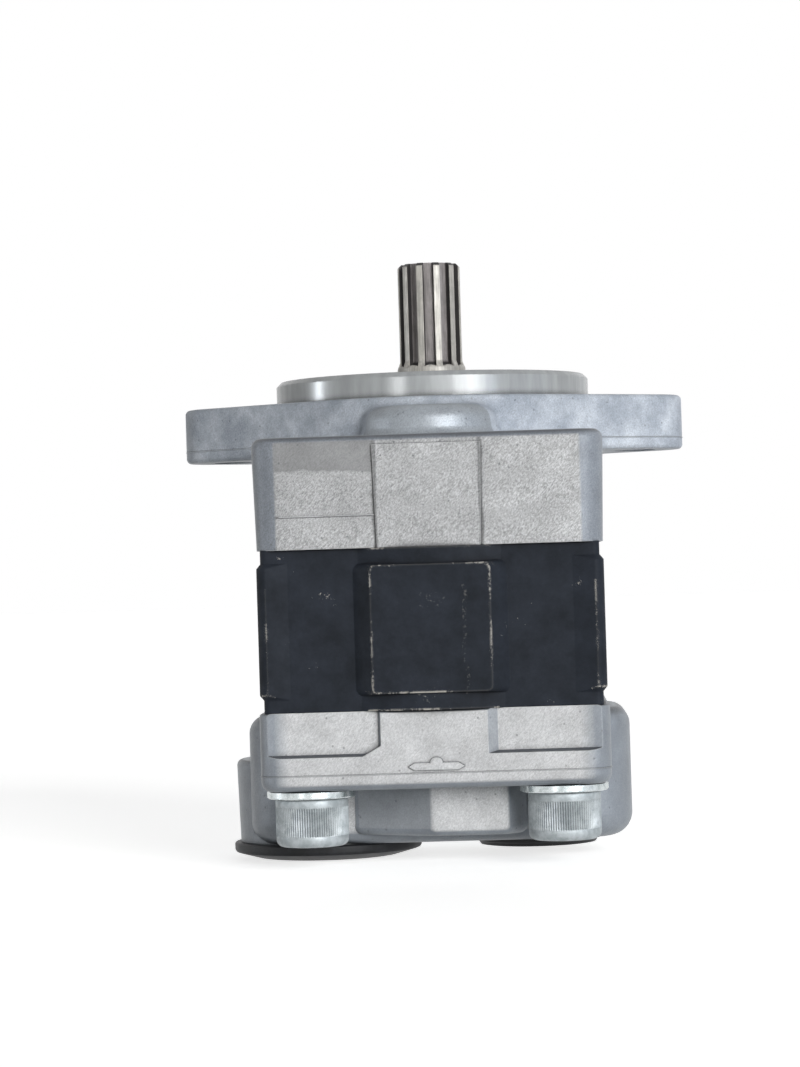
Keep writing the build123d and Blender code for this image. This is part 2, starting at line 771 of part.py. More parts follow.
plate_parts = []
for end, joint_z, inward in (("front", front_joint_z, -1), ("rear", rear_joint_z, 1)):
    with BuildPart() as side_plate:
        with BuildSketch(Plane.XY.offset(joint_z + inward * plate_gap)):
            with Locations(drive_axis, driven_axis):
                Circle(gear_bore_radius - plate_gap)
            with Locations(drive_axis, driven_axis):
                Circle(journal_radius + plate_bore_gap, mode=Mode.SUBTRACT)
        extrude(amount=inward * plate_thickness)
        # Relief pockets beside the mesh, on the gears' side
        with BuildSketch(Plane.XY.offset(joint_z + inward * (plate_gap + plate_thickness))):
            with Locations((0, body_mid_y)):
                with GridLocations(relief_slot_start + relief_slot_end, 1, 2, 1):
                    RectangleRounded(
                        relief_slot_end - relief_slot_start,
                        relief_slot_width,
                        relief_slot_radius,
                    )
        extrude(amount=-inward * relief_slot_depth, mode=Mode.SUBTRACT)
        with BuildSketch(Plane.XY.offset(joint_z + inward * plate_gap)):
            add(plate_seal_shape.sketch)
        extrude(amount=inward * plate_seal_depth, mode=Mode.SUBTRACT)
    side_plate.part.label = f"{end}_side_plate"
    plate_parts.append(side_plate.part)

    with BuildPart() as plate_seal:
        with BuildSketch(Plane.XY.offset(joint_z)):
            add(offset(plate_seal_shape.sketch, amount=-ring_seal_side_gap, mode=Mode.PRIVATE))
        extrude(amount=inward * (plate_gap + plate_seal_depth))
    plate_seal.part.label = f"{end}_plate_seal"
    plate_parts.append(plate_seal.part)

    with BuildPart() as housing_seal:
        with BuildSketch(Plane.XY.offset(joint_z)):
            ring_outline(ring_seal_width, 0)
        extrude(amount=-inward * ring_seal_depth)
    housing_seal.part.label = f"{end}_housing_seal"
    plate_parts.append(housing_seal.part)

# Shaft seal: steel case, rubber lip, garter spring, and the snap ring that holds it
with BuildPart() as shaft_seal_case:
    with BuildSketch(Plane.XZ):
        with BuildLine():
            Polyline(
                (seal_bore_radius, seal_floor_z + seat_gap),
                (seal_bore_radius, seal_top_z),
                (seal_disc_inner_radius, seal_top_z),
                (seal_disc_inner_radius, seal_top_z - seal_case_wall),
                (seal_bore_radius - seal_case_wall, seal_top_z - seal_case_wall),
                (seal_bore_radius - seal_case_wall, seal_floor_z + seat_gap),
                close=True,
            )
        make_face()
    revolve(axis=Axis.Z)
shaft_seal_case.part.label = "shaft_seal_case"

with BuildPart() as shaft_seal_spring:
    with BuildSketch(Plane.XZ):
        with Locations((spring_radius, spring_z)):
            RegularPolygon(spring_wire_radius, 8)
    revolve(axis=Axis.Z)
shaft_seal_spring.part.label = "shaft_seal_spring"

with BuildPart() as shaft_seal_lip:
    with BuildSketch(Plane.XZ):
        with BuildLine():
            Polyline(
                (seal_bore_radius - seal_case_wall, web_top_z),
                (sleeve_inner_radius, web_top_z),
                (sleeve_inner_radius, spring_z + seal_lip_length / 2),
                (seal_land_radius + seal_lip_clearance, spring_z),
                (sleeve_inner_radius, spring_z - seal_lip_length / 2),
                (sleeve_outer_radius, spring_z - seal_lip_length / 2),
                (sleeve_outer_radius, web_top_z - seal_web_thickness),
                (seal_bore_radius - seal_case_wall, web_top_z - seal_web_thickness),
                close=True,
            )
        make_face()
        with Locations((spring_radius, spring_z)):
            RegularPolygon(spring_wire_radius + seat_gap, 8, mode=Mode.SUBTRACT)
    revolve(axis=Axis.Z)
shaft_seal_lip.part.label = "shaft_seal_lip"

with BuildPart() as seal_snap_ring:
    with BuildSketch(Plane.XY.offset(seal_top_z + 2 * snap_ring_clearance)):
        Circle(seal_bore_radius + snap_ring_groove_depth)
        Circle(seal_bore_radius + snap_ring_groove_depth - snap_ring_width, mode=Mode.SUBTRACT)
        with BuildLine():
            gap_half = math.radians(snap_ring_gap_angle / 2)
            Polyline(
                (0, 0),
                polar(2 * seal_bore_radius, -gap_half),
                polar(2 * seal_bore_radius, gap_half),
                close=True,
            )
        make_face(mode=Mode.SUBTRACT)
        ear_turn = gap_half + snap_ring_ear_radius / snap_ring_ear_reach
        with Locations(
            polar(snap_ring_ear_reach, ear_turn),
            polar(snap_ring_ear_reach, -ear_turn),
        ):
            Circle(snap_ring_ear_radius)
            Circle(snap_ring_ear_hole_radius, mode=Mode.SUBTRACT)
    extrude(amount=snap_ring_thickness)
seal_snap_ring.part.label = "seal_snap_ring"

# Cover bolts with their washers, from the back of the rear cover
fastener_parts = []
for number, place in enumerate(bolt_places, start=1):
    with BuildPart() as cover_bolt:
        with BuildSketch(Plane.XY.offset(head_seat_z)):
            with Locations(place):
                Circle(bolt_head_radius)
        extrude(amount=-bolt_head_height)
        chamfer(faces().sort_by(Axis.Z)[0].edges(), bolt_head_edge)
        with BuildSketch(Plane.XY.offset(head_seat_z)):
            with Locations(place):
                Circle(bolt_radius)
        extrude(amount=bolt_length)
        chamfer(faces().sort_by(Axis.Z)[-1].edges(), bolt_end_chamfer)
        with BuildSketch(Plane.XY.offset(head_seat_z - bolt_head_height)):
            with Locations(place):
                RegularPolygon(hex_across_flats / 2, 6, major_radius=False)
        extrude(amount=hex_depth, mode=Mode.SUBTRACT)
    cover_bolt.part.label = f"cover_bolt_{number}"
    fastener_parts.append(cover_bolt.part)

    with BuildPart() as cover_washer:
        with BuildSketch(Plane.XY.offset(head_seat_z)):
            with Locations(place):
                Circle(washer_radius)
                Circle(washer_hole_radius, mode=Mode.SUBTRACT)
        extrude(amount=washer_thickness)
        chamfer(edges().filter_by(GeomType.CIRCLE).sort_by(SortBy.RADIUS)[-2:], washer_edge)
    cover_washer.part.label = f"cover_washer_{number}"
    fastener_parts.append(cover_washer.part)

# Dowel pins across both joints
dowel_ends = [(x, y, z) for z in (front_joint_z, rear_joint_z) for x, y in dowel_places]
for number, (x, y, z) in enumerate(dowel_ends, start=1):
    with BuildPart() as dowel_pin:
        with BuildSketch(Plane.XY.offset(z - dowel_length / 2)):
            with Locations((x, y)):
                Circle(dowel_radius)
        extrude(amount=dowel_length)
        chamfer(edges().filter_by(GeomType.CIRCLE), dowel_chamfer)
    dowel_pin.part.label = f"dowel_pin_{number}"
    fastener_parts.append(dowel_pin.part)

# Push-in caps for the two ports
cap_parts = []
for name, port, radius, rim, flat_radius, height, mouth_radius in (
    (
        "suction_port_cap",
        suction_port,
        suction_cap_radius,
        suction_cap_rim,
        suction_cap_flat_radius,
        suction_cap_height,
        suction_mouth_radius,
    ),
    (
        "pressure_port_cap",
        pressure_port,
        pressure_cap_radius,
        pressure_cap_rim,
        pressure_cap_flat_radius,
        pressure_cap_height,
        pressure_mouth_radius,
    ),
):
    spigot_radius = mouth_radius - cap_fit_gap
    cap_plane = Plane((port[0], port[1], port_face_z), x_dir=(1, 0, 0), z_dir=(0, -1, 0))
    with BuildPart() as port_cap:
        with BuildSketch(cap_plane):
            with BuildLine():
                Polyline(
                    (0, -height),
                    (flat_radius, -height),
                    (radius - cap_edge_radius, -rim),
                    (radius, -rim + cap_edge_radius),
                    (radius, 0),
                    (spigot_radius, 0),
                    (spigot_radius, cap_spigot_length),
                    (spigot_radius - cap_spigot_wall, cap_spigot_length),
                    (spigot_radius - cap_spigot_wall, 0),
                    (0, 0),
                    close=True,
                )
            make_face()
        revolve(axis=Axis((port[0], port[1], 0), (0, 0, 1)))
    port_cap.part.label = name
    cap_parts.append(port_cap.part)

os.makedirs("parts", exist_ok=True)
for piece in [
    front_cover.part,
    gear_housing.part,
    rear_cover.part,
    drive_gear_shaft.part,
    driven_gear_shaft.part,
    shaft_seal_case.part,
    shaft_seal_lip.part,
    shaft_seal_spring.part,
    seal_snap_ring.part,
    *bush_parts,
    *plate_parts,
    *fastener_parts,
    *cap_parts,
]:
    export_step(piece, f"parts/{piece.label}.step")
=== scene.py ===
import logging
import math
from collections.abc import Callable
from dataclasses import dataclass
from enum import Enum
from functools import partial, reduce

import bmesh
import bpy
from mathutils import Matrix, Vector


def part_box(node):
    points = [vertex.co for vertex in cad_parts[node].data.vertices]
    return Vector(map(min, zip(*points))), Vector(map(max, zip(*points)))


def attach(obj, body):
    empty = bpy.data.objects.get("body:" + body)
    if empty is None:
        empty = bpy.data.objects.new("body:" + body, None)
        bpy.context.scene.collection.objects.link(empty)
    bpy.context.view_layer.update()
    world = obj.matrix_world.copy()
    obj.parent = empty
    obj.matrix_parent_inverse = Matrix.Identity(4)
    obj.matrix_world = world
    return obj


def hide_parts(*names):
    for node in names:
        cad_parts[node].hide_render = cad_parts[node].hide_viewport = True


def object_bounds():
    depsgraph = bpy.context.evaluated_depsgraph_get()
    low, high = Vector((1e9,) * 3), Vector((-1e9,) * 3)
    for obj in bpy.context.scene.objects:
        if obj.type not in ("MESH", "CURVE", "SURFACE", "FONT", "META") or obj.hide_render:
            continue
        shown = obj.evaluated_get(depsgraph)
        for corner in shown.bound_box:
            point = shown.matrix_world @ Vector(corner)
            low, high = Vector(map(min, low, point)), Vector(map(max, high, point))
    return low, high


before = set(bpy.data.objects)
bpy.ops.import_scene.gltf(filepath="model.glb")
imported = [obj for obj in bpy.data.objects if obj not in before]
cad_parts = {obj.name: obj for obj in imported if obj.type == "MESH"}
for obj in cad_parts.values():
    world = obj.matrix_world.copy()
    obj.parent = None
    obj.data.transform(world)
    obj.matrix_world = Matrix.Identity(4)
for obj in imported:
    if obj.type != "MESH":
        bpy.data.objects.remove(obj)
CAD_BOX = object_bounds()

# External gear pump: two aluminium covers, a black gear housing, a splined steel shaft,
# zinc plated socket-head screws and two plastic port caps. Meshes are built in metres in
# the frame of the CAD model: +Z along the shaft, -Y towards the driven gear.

LOG = logging.getLogger("pump")
MM = 0.001
WELD = 0.001 * MM
OFF = 1000.0  # a height or distance in mm that lies beyond the pump
COLOUR_MIX = {"data_type": "RGBA"}
TONE_MIX = {"data_type": "RGBA", "blend_type": "MULTIPLY"}

Colour = tuple[float, float, float, float]
Point = tuple[float, float]
Fed = bpy.types.Node | bpy.types.NodeSocket | float
Feeds = dict[str | int, object]
Add = Callable[..., bpy.types.Node]


def linear(colour: str) -> Colour:
    """Turns a colour written as sRGB hex into linear values.

    Args:
        colour: Six hex digits with a leading #.

    Returns:
        Linear red, green, blue and an alpha of 1.
    """
    parts = [int(colour[i : i + 2], 16) / 255 for i in (1, 3, 5)]
    red, green, blue = (
        c / 12.92 if c <= 0.04045 else ((c + 0.055) / 1.055) ** 2.4 for c in parts
    )
    return (red, green, blue, 1.0)


def per_mm(size: float) -> float:
    """Texture scale at which one feature of a pattern is this many millimetres."""
    return 1.0 / (size * MM)


def pattern(place: Fed, size: float, detail: float = 2.0, roughness: float = 0.5) -> Feeds:
    """Inputs of a noise with features of this many millimetres."""
    return {"Vector": place, "Scale": per_mm(size), "Detail": detail, "Roughness": roughness}


def ramp(value: Fed, start: float, end: float) -> Feeds:
    """Inputs of a range that rises from 0 to 1 between two lengths in millimetres."""
    return {0: value, 1: start * MM, 2: end * MM}


def bump(height: Fed, strength: float, depth: float, normal: Fed | None = None) -> Feeds:
    """Inputs of a relief this many millimetres deep, on top of a normal if one is given."""
    feeds = {"Strength": strength, "Distance": depth * MM, "Height": height}
    return feeds if normal is None else {**feeds, "Normal": normal}


def feed(tree: bpy.types.NodeTree, node: bpy.types.Node, sockets: Feeds) -> None:
    """Gives a node's inputs their values and links.

    Args:
        tree: Node tree of the node.
        node: Node whose inputs are fed.
        sockets: Input name or number, with a value, an output, or a node that feeds the
            input from its first output in use.
    """
    for socket, value in sockets.items():
        if isinstance(value, bpy.types.Node):
            value = next(output for output in value.outputs if output.enabled)
        if isinstance(value, bpy.types.NodeSocket):
            tree.links.new(value, node.inputs[socket])
        else:
            node.inputs[socket].default_value = value


def add_node(
    tree: bpy.types.NodeTree, kind: str, sockets: Feeds | None = None, **settings: object
) -> bpy.types.Node:
    """Adds a node with its settings, socket values and links.

    Args:
        tree: Node tree that takes the node.
        kind: Blender's type name of the shader node, without its prefix.
        sockets: What feeds its inputs, as in feed().
        settings: Properties of the node itself.

    Returns:
        The new node.
    """
    node = tree.nodes.new(f"ShaderNode{kind}")
    for name, value in settings.items():
        setattr(node, name, value)
    feed(tree, node, sockets or {})
    return node


def chain(add: Add, operation: str, *parts: Fed) -> bpy.types.Node:
    """Combines two or more parts with the same operation, one after the other.

    Args:
        add: Adds a node to the tree.
        operation: Blender's name of the operation.
        parts: Nodes, outputs or numbers.

    Returns:
        The last node of the chain.
    """
    return reduce(lambda one, two: add("Math", {0: one, 1: two}, operation=operation), parts)


def layers(add: Add, base: str | Fed, *coats: tuple[Fed, str]) -> bpy.types.Node:
    """Lays colours over a base, each where its mask is above 0.

    Args:
        add: Adds a node to the tree.
        base: The lowest colour, as sRGB hex or as a node.
        coats: A mask and a colour as sRGB hex, from the lowest coat to the highest.

    Returns:
        The node of the finished colour.
    """
    colour = linear(base) if isinstance(base, str) else base
    for mask, tint in coats:
        colour = add("Mix", {0: mask, 6: colour, 7: linear(tint)}, **COLOUR_MIX)
    return colour


@dataclass(frozen=True)
class Finish:
    """What every finish shares: a name, and how its nodes become a material."""

    name: str

    def surface(self, add: Add) -> Feeds:
        """Adds the nodes of the finish.

        Args:
            add: Adds a node to the material's tree.

        Returns:
            What feeds the shader, by the name of its input.
        """
        raise NotImplementedError

    def build(self) -> bpy.types.Material:
        """Makes the material.

        Returns:
            The finished material.
        """
        material = bpy.data.materials.new(self.name)
        material.use_nodes = True
        tree = material.node_tree
        feed(tree, tree.nodes["Principled BSDF"], self.surface(partial(add_node, tree)))
        return material


@dataclass(frozen=True)
class CastZones:
    """Places on a casting, and masks that are 1 inside one of its regions."""

    place: Fed
    x: Fed
    y: Fed
    z: Fed
    aside: Fed
    up: Fed
    face: Fed
    flange: Fed
    boss: Fed
    front: Fed
    block_top: Fed
    left: Fed
    cut: Fed


@dataclass(frozen=True)
class CastAluminium(Finish):
    """Gravity-cast aluminium alloy, as cast, with its joint and pilot faces machined.

    The big flat faces are light and sandy, with short slanting strokes from the mould.
    Both patterns are drawn a little coarser than on the real casting, so that they show.
    The rounded corners, sides and flange are smoother, and darker and bluer than the flats,
    partly as painted shade and painted reflection. The boss above the block is rubbed smooth
    and lighter, partly as a painted highlight. Edges are lighter from handling wear and a
    painted edge highlight. Painted shade darkens the inner corners and the upward-facing
    rounding at the block's top, dark lines run beside the raised panel, and a painted light
    slope can make the right side lighter. Machined faces have fine turning rings, drawn
    coarse enough to show, and upright chatter bands that partly paint reflection streaks.
    """

    flat: str = "#BFC0C1"
    # Darker, bluer colour of the rounded corners, sides and top: partly the smoother skin,
    # partly painted shade and painted reflection.
    smooth: str = "#8A9098"
    pit: str = "#66696C"
    # Colour of the edges: handling wear, and partly a painted edge highlight.
    bright: str = "#DADBDB"
    # Bluish colour of the flange, partly a painted reflection of bluish light.
    flange: str = "#ACB4BF"
    # Lighter colour of the rubbed boss, partly a painted highlight.
    sandy: str = "#DCE1E6"
    rubbed: str = "#9FA5AB"
    machined: str = "#A9ACAD"
    grain_mm: float = 0.27
    stroke_mm: float = 0.25
    stroke_lean: float = 40.0
    speck_depth: float = 1.0
    pit_mm: float = 3.1
    flow_mm: float = 8.0
    turning_mm: float = 0.45
    crease_mm: float = 2.0
    edge_mm: float = 0.5
    flat_reach_mm: float = 37.3
    flat_blur_mm: float = 0.3
    seam_mm: float = OFF
    step_z_mm: float = OFF
    # Painted light slope: share by which the skin lightens per metre towards +x.
    painted_light_slope: float = 0.0
    block_top_mm: float = -10.7
    flange_above_mm: float = -13.9
    flange_near_mm: float = -46.0
    machined_above_mm: float = OFF
    machined_below_mm: float = -OFF
    stain_left_of_mm: float = -OFF
    stain_above_mm: float = -19.6

    def surface(self, add: Add) -> Feeds:
        """Adds the nodes of the casting's skin and of its machined faces."""
        zones = self.zones(add)
        place = zones.place
        sandy = chain(add, "MAXIMUM", zones.face, zones.flange)
        flow = add("TexNoise", pattern(place, self.flow_mm, 4.0, 0.6))
        patch = self.patch(add, zones, flow, sandy)
        sand = self.sand(add, place)
        # The sand is full on the flats, faint elsewhere and calmer in the patch
        share = add("MapRange", {0: zones.face, 3: 0.5, 4: 1.0})
        calm = add("MapRange", {0: patch, 3: 1.0, 4: 0.35})
        share_of_sand = chain(add, "MULTIPLY", share, calm)
        # Painted shade: ambient occlusion darkens the inner corners and creases, on the skin
        # and on the machined faces.
        crease = add("AmbientOcclusion", {"Distance": self.crease_mm * MM}, samples=6)
        open_air = crease.outputs["AO"]
        painted_crease_shade = add("MapRange", {0: open_air, 1: 0.48, 2: 0.90, 3: 0.26, 4: 1.0})
        speck = add("MapRange", {0: sand, 1: 0.80, 2: 1.20, 3: -0.38, 4: 0.34})
        speck = chain(add, "MULTIPLY", speck, share_of_sand)
        speck = add("Math", {0: speck, 1: self.speck_depth, 2: 1.02}, operation="MULTIPLY_ADD")
        tone = chain(add, "MULTIPLY", speck, *self.tones(add, zones, flow, patch), painted_crease_shade)
        # The flange shows its sandy skin in lighter patches
        light = add("MapRange", {0: flow, 1: 0.38, 2: 0.66, 4: 0.5})
        light = chain(add, "MULTIPLY", light, zones.flange)
        skin = layers(
            add,
            self.smooth,
            (zones.face, self.flat),
            (zones.flange, self.flange),
            (light, self.sandy),
            # the boss, rubbed smooth and lighter, partly as a painted highlight
            (zones.boss, self.rubbed),
        )
        toned = add("Mix", {0: 1.0, 6: skin, 7: tone}, **TONE_MIX)
        pits = add("TexVoronoi", {"Vector": place, "Scale": per_mm(self.pit_mm)})
        pits = add("MapRange", {0: pits, 1: 0.04, 2: 0.12, 3: 0.6, 4: 0.0})
        rounded = add("Bevel", {"Radius": self.edge_mm * MM}, samples=6)
        wear_and_edge_highlight = self.wear_and_edge_highlight(add, rounded, open_air)
        # Edges turn light: handling wear, and partly a painted edge highlight.
        cast = layers(add, toned, (pits, self.pit), (wear_and_edge_highlight, self.bright))
        ridge, metal = self.turned(add, zones, painted_crease_shade)
        colour = add("Mix", {0: zones.cut, 6: cast, 7: metal}, **COLOUR_MIX)
        rough = add("MapRange", {0: sand, 1: 0.8, 2: 1.2, 3: 0.58, 4: 0.44})
        rough = add("Mix", {0: sandy, 2: 0.36, 3: rough})
        metallic = add("Mix", {0: sandy, 2: 0.12, 3: 0.05})
        for mask, dull, shine in ((zones.boss, 0.30, 0.30), (zones.cut, 0.24, 0.12)):
            rough = add("Mix", {0: mask, 2: rough, 3: dull})
            metallic = add("Mix", {0: mask, 2: metallic, 3: shine})
        # Relief of the skin, and turning rings on the machined faces
        relief = chain(add, "MULTIPLY", sand, share_of_sand)
        relief = chain(add, "SUBTRACT", relief, pits)
        normal = rounded
        waves = add("TexNoise", pattern(place, 3.6))
        for strength, depth, height in ((0.4, 0.25, waves), (0.8, 0.14, relief)):
            normal = add("Bump", bump(height, strength, depth, normal))
        turned = add("Bump", bump(ridge, 0.25, 0.01, rounded))
        return {
            "Base Color": colour,
            "Roughness": rough,
            "Metallic": metallic,
            "Specular IOR Level": 0.28,
            "Normal": add("Mix", {0: zones.cut, 4: normal, 5: turned}, data_type="VECTOR"),
        }

    def zones(self, add: Add) -> CastZones:
        """Adds the nodes that tell the casting's regions apart.

        Args:
            add: Adds a node to the material's tree.

        Returns:
            Places and masks.
        """
        coordinates = add("TexCoord")
        place = coordinates.outputs["Object"]
        x, y, z = add("SeparateXYZ", {0: place}).outputs
        facing = add("SeparateXYZ", {0: coordinates.outputs["Normal"]}).outputs
        along = add("Math", {0: facing["Y"]}, operation="ABSOLUTE")
        aside = add("Math", {0: x}, operation="ABSOLUTE")
        reach, blur = self.flat_reach_mm, self.flat_blur_mm
        facing_out = add("MapRange", {0: along, 1: 0.84, 2: 0.95})
        within = add("MapRange", ramp(aside, reach + blur, reach - blur))
        # Above the block stand the flange, half sandy, and in front of it the smooth boss
        raised = add("MapRange", ramp(z, self.flange_above_mm - 0.5, self.flange_above_mm))
        low = add("MapRange", ramp(z, self.block_top_mm + 0.4, self.block_top_mm + 0.1))
        behind = add("Math", {0: y, 1: self.flange_near_mm * MM}, operation="GREATER_THAN")
        upward = add("MapRange", {0: facing["Z"], 1: 0.50, 2: 0.85})
        block_top = chain(add, "MULTIPLY", upward, low)
        flange = chain(add, "MULTIPLY", raised, behind)
        flange = add("Math", {0: flange, 1: block_top}, operation="SUBTRACT", use_clamp=True)
        boss = chain(add, "SUBTRACT", 1.0, low, behind)
        # Machined faces, above and below the given heights
        high, deep = self.machined_above_mm, self.machined_below_mm
        above = add("MapRange", ramp(z, high - 0.12, high - 0.04))
        below = add("MapRange", ramp(z, deep + 0.12, deep + 0.04))
        side = self.stain_left_of_mm
        return CastZones(
            place=place,
            x=x,
            y=y,
            z=z,
            aside=aside,
            up=facing["Z"],
            face=chain(add, "MULTIPLY", facing_out, within, low),
            flange=chain(add, "MULTIPLY", flange, 0.9),
            boss=chain(add, "MAXIMUM", boss, 0.0),
            front=chain(add, "SUBTRACT", 1.0, behind),
            block_top=block_top,
            left=add("MapRange", ramp(x, side + 0.3, side - 0.3)),
            cut=chain(add, "MAXIMUM", above, below),
        )

    def sand(self, add: Add, place: Fed) -> Fed:
        """Adds the sandy relief: grain and slanting strokes."""
        grain = add("TexNoise", pattern(place, self.grain_mm, 4.0, 0.75))
        lean = (0.0, math.radians(self.stroke_lean), 0.0)
        slant = add(
            "Mapping",
            {"Vector": place, "Rotation": lean, "Scale": (1.0, 1.0, 2.8)},
            vector_type="TEXTURE",
        )
        strokes = add("TexNoise", pattern(slant, self.stroke_mm, 3.0))
        return chain(add, "ADD", grain, strokes)

    def patch(self, add: Add, zones: CastZones, flow: Fed, sandy: Fed) -> Fed:
        """Adds the smoother, darker patch at one end of the near face, where metal met first.

        Args:
            add: Adds a node to the material's tree.
            zones: Places and masks of the casting.
            flow: Slow noise that makes the patch's lower edge ragged.
            sandy: Mask of the sandy skin.

        Returns:
            Mask of the patch.
        """
        ragged = add("Math", {0: flow, 1: 5.0 * MM, 2: zones.z}, operation="MULTIPLY_ADD")
        low = self.stain_above_mm
        high = add("MapRange", ramp(ragged, low + 2.3, low + 3.0))
        return chain(add, "MULTIPLY", high, zones.left, sandy, zones.front)

    def tones(self, add: Add, zones: CastZones, flow: Fed, patch: Fed) -> tuple[Fed, ...]:
        """Adds what tones the skin: mottle, the patch, dark lines beside the raised panel and
        along a small step, painted shade on the upward-facing rounding at the block's top, and
        a painted light slope.

        Args:
            add: Adds a node to the material's tree.
            zones: Places and masks of the casting.
            flow: Slow noise of the skin.
            patch: Mask of the darker patch.

        Returns:
            Factors of the skin's colour.
        """
        mottle = add("MapRange", {0: flow, 1: 0.34, 2: 0.66, 3: 0.87, 4: 1.09})
        stained = add("MapRange", {0: patch, 3: 1.0, 4: 0.60})
        wander = add("Math", {0: flow, 1: 1.2 * MM, 2: zones.aside}, operation="MULTIPLY_ADD")
        seam = chain(add, "SUBTRACT", wander, (self.seam_mm + 0.6) * MM)
        seam = add("Math", {0: seam}, operation="ABSOLUTE")
        seam = add("MapRange", {**ramp(seam, 0.30, 0.75), 3: 0.50, 4: 0.0})
        seam = chain(add, "MULTIPLY", seam, zones.face)
        step = add(
            "Math", {0: zones.z, 1: self.step_z_mm * MM, 2: 0.25 * MM}, operation="COMPARE"
        )
        step = chain(add, "MULTIPLY", step, zones.left, zones.face, 0.5)
        # Painted shade on the upward-facing rounding at the top of the block.
        rim = add("MapRange", {0: zones.up, 1: 0.99, 2: 0.93, 4: 0.6})
        painted_ledge_shade = chain(add, "MULTIPLY", zones.block_top, rim)
        dark_lines_and_shade = chain(add, "MAXIMUM", seam, step, painted_ledge_shade)
        free_of_lines_and_shade = chain(add, "SUBTRACT", 1.0, dark_lines_and_shade)
        # Painted light: the skin grows lighter towards +x and darker towards -x, as if lit from
        # the right.
        across = add("Math", {0: zones.x, 1: self.painted_light_slope, 2: 1.0}, operation="MULTIPLY_ADD")
        return (mottle, stained, free_of_lines_and_shade, across)

    def wear_and_edge_highlight(self, add: Add, rounded: Fed, open_air: Fed) -> Fed:
        """Adds handling wear and a painted edge highlight: the rounded normal leaves the flat
        one only at an edge.
        """
        flat = add("NewGeometry").outputs["Normal"]
        turn = add("VectorMath", {0: rounded, 1: flat}, operation="DOT_PRODUCT")
        wear_and_edge_highlight = add("MapRange", {0: turn, 1: 0.98, 2: 0.80, 3: 0.0, 4: 0.6})
        outer = add("MapRange", {0: open_air, 1: 0.8, 2: 0.97})
        return chain(add, "MULTIPLY", wear_and_edge_highlight, outer)

    def turned(self, add: Add, zones: CastZones, painted_crease_shade: Fed) -> tuple[Fed, Fed]:
        """Adds the machined faces: turning rings, and chatter bands that partly paint
        reflection streaks.

        Args:
            add: Adds a node to the material's tree.
            zones: Places and masks of the casting.
            painted_crease_shade: Painted shade that darkens the inner corners.

        Returns:
            Height of the rings, and colour of the cut metal.
        """
        level = add("CombineXYZ", {0: zones.x, 1: zones.y})
        reach = add("VectorMath", {0: level}, operation="LENGTH")
        path = chain(add, "ADD", reach, zones.z)
        rings = chain(add, "MULTIPLY", path, 2 * math.pi * per_mm(self.turning_mm))
        ridge = add("Math", {0: rings}, operation="SINE")
        # Upright bands along the turned faces: machining chatter, and partly painted reflection
        # streaks; painted shade darkens them in the corners.
        drawn = add("Mapping", {"Vector": zones.place, "Scale": (1.0, 1.0, 0.15)})
        chatter = add("TexNoise", pattern(drawn, 2.4, 4.0))
        sheen = add("MapRange", {0: chatter, 1: 0.3, 2: 0.7, 3: 0.86, 4: 1.10})
        sheen = chain(add, "MULTIPLY", sheen, painted_crease_shade)
        metal = add("Mix", {0: 1.0, 6: linear(self.machined), 7: sheen}, **TONE_MIX)
        return ridge, metal


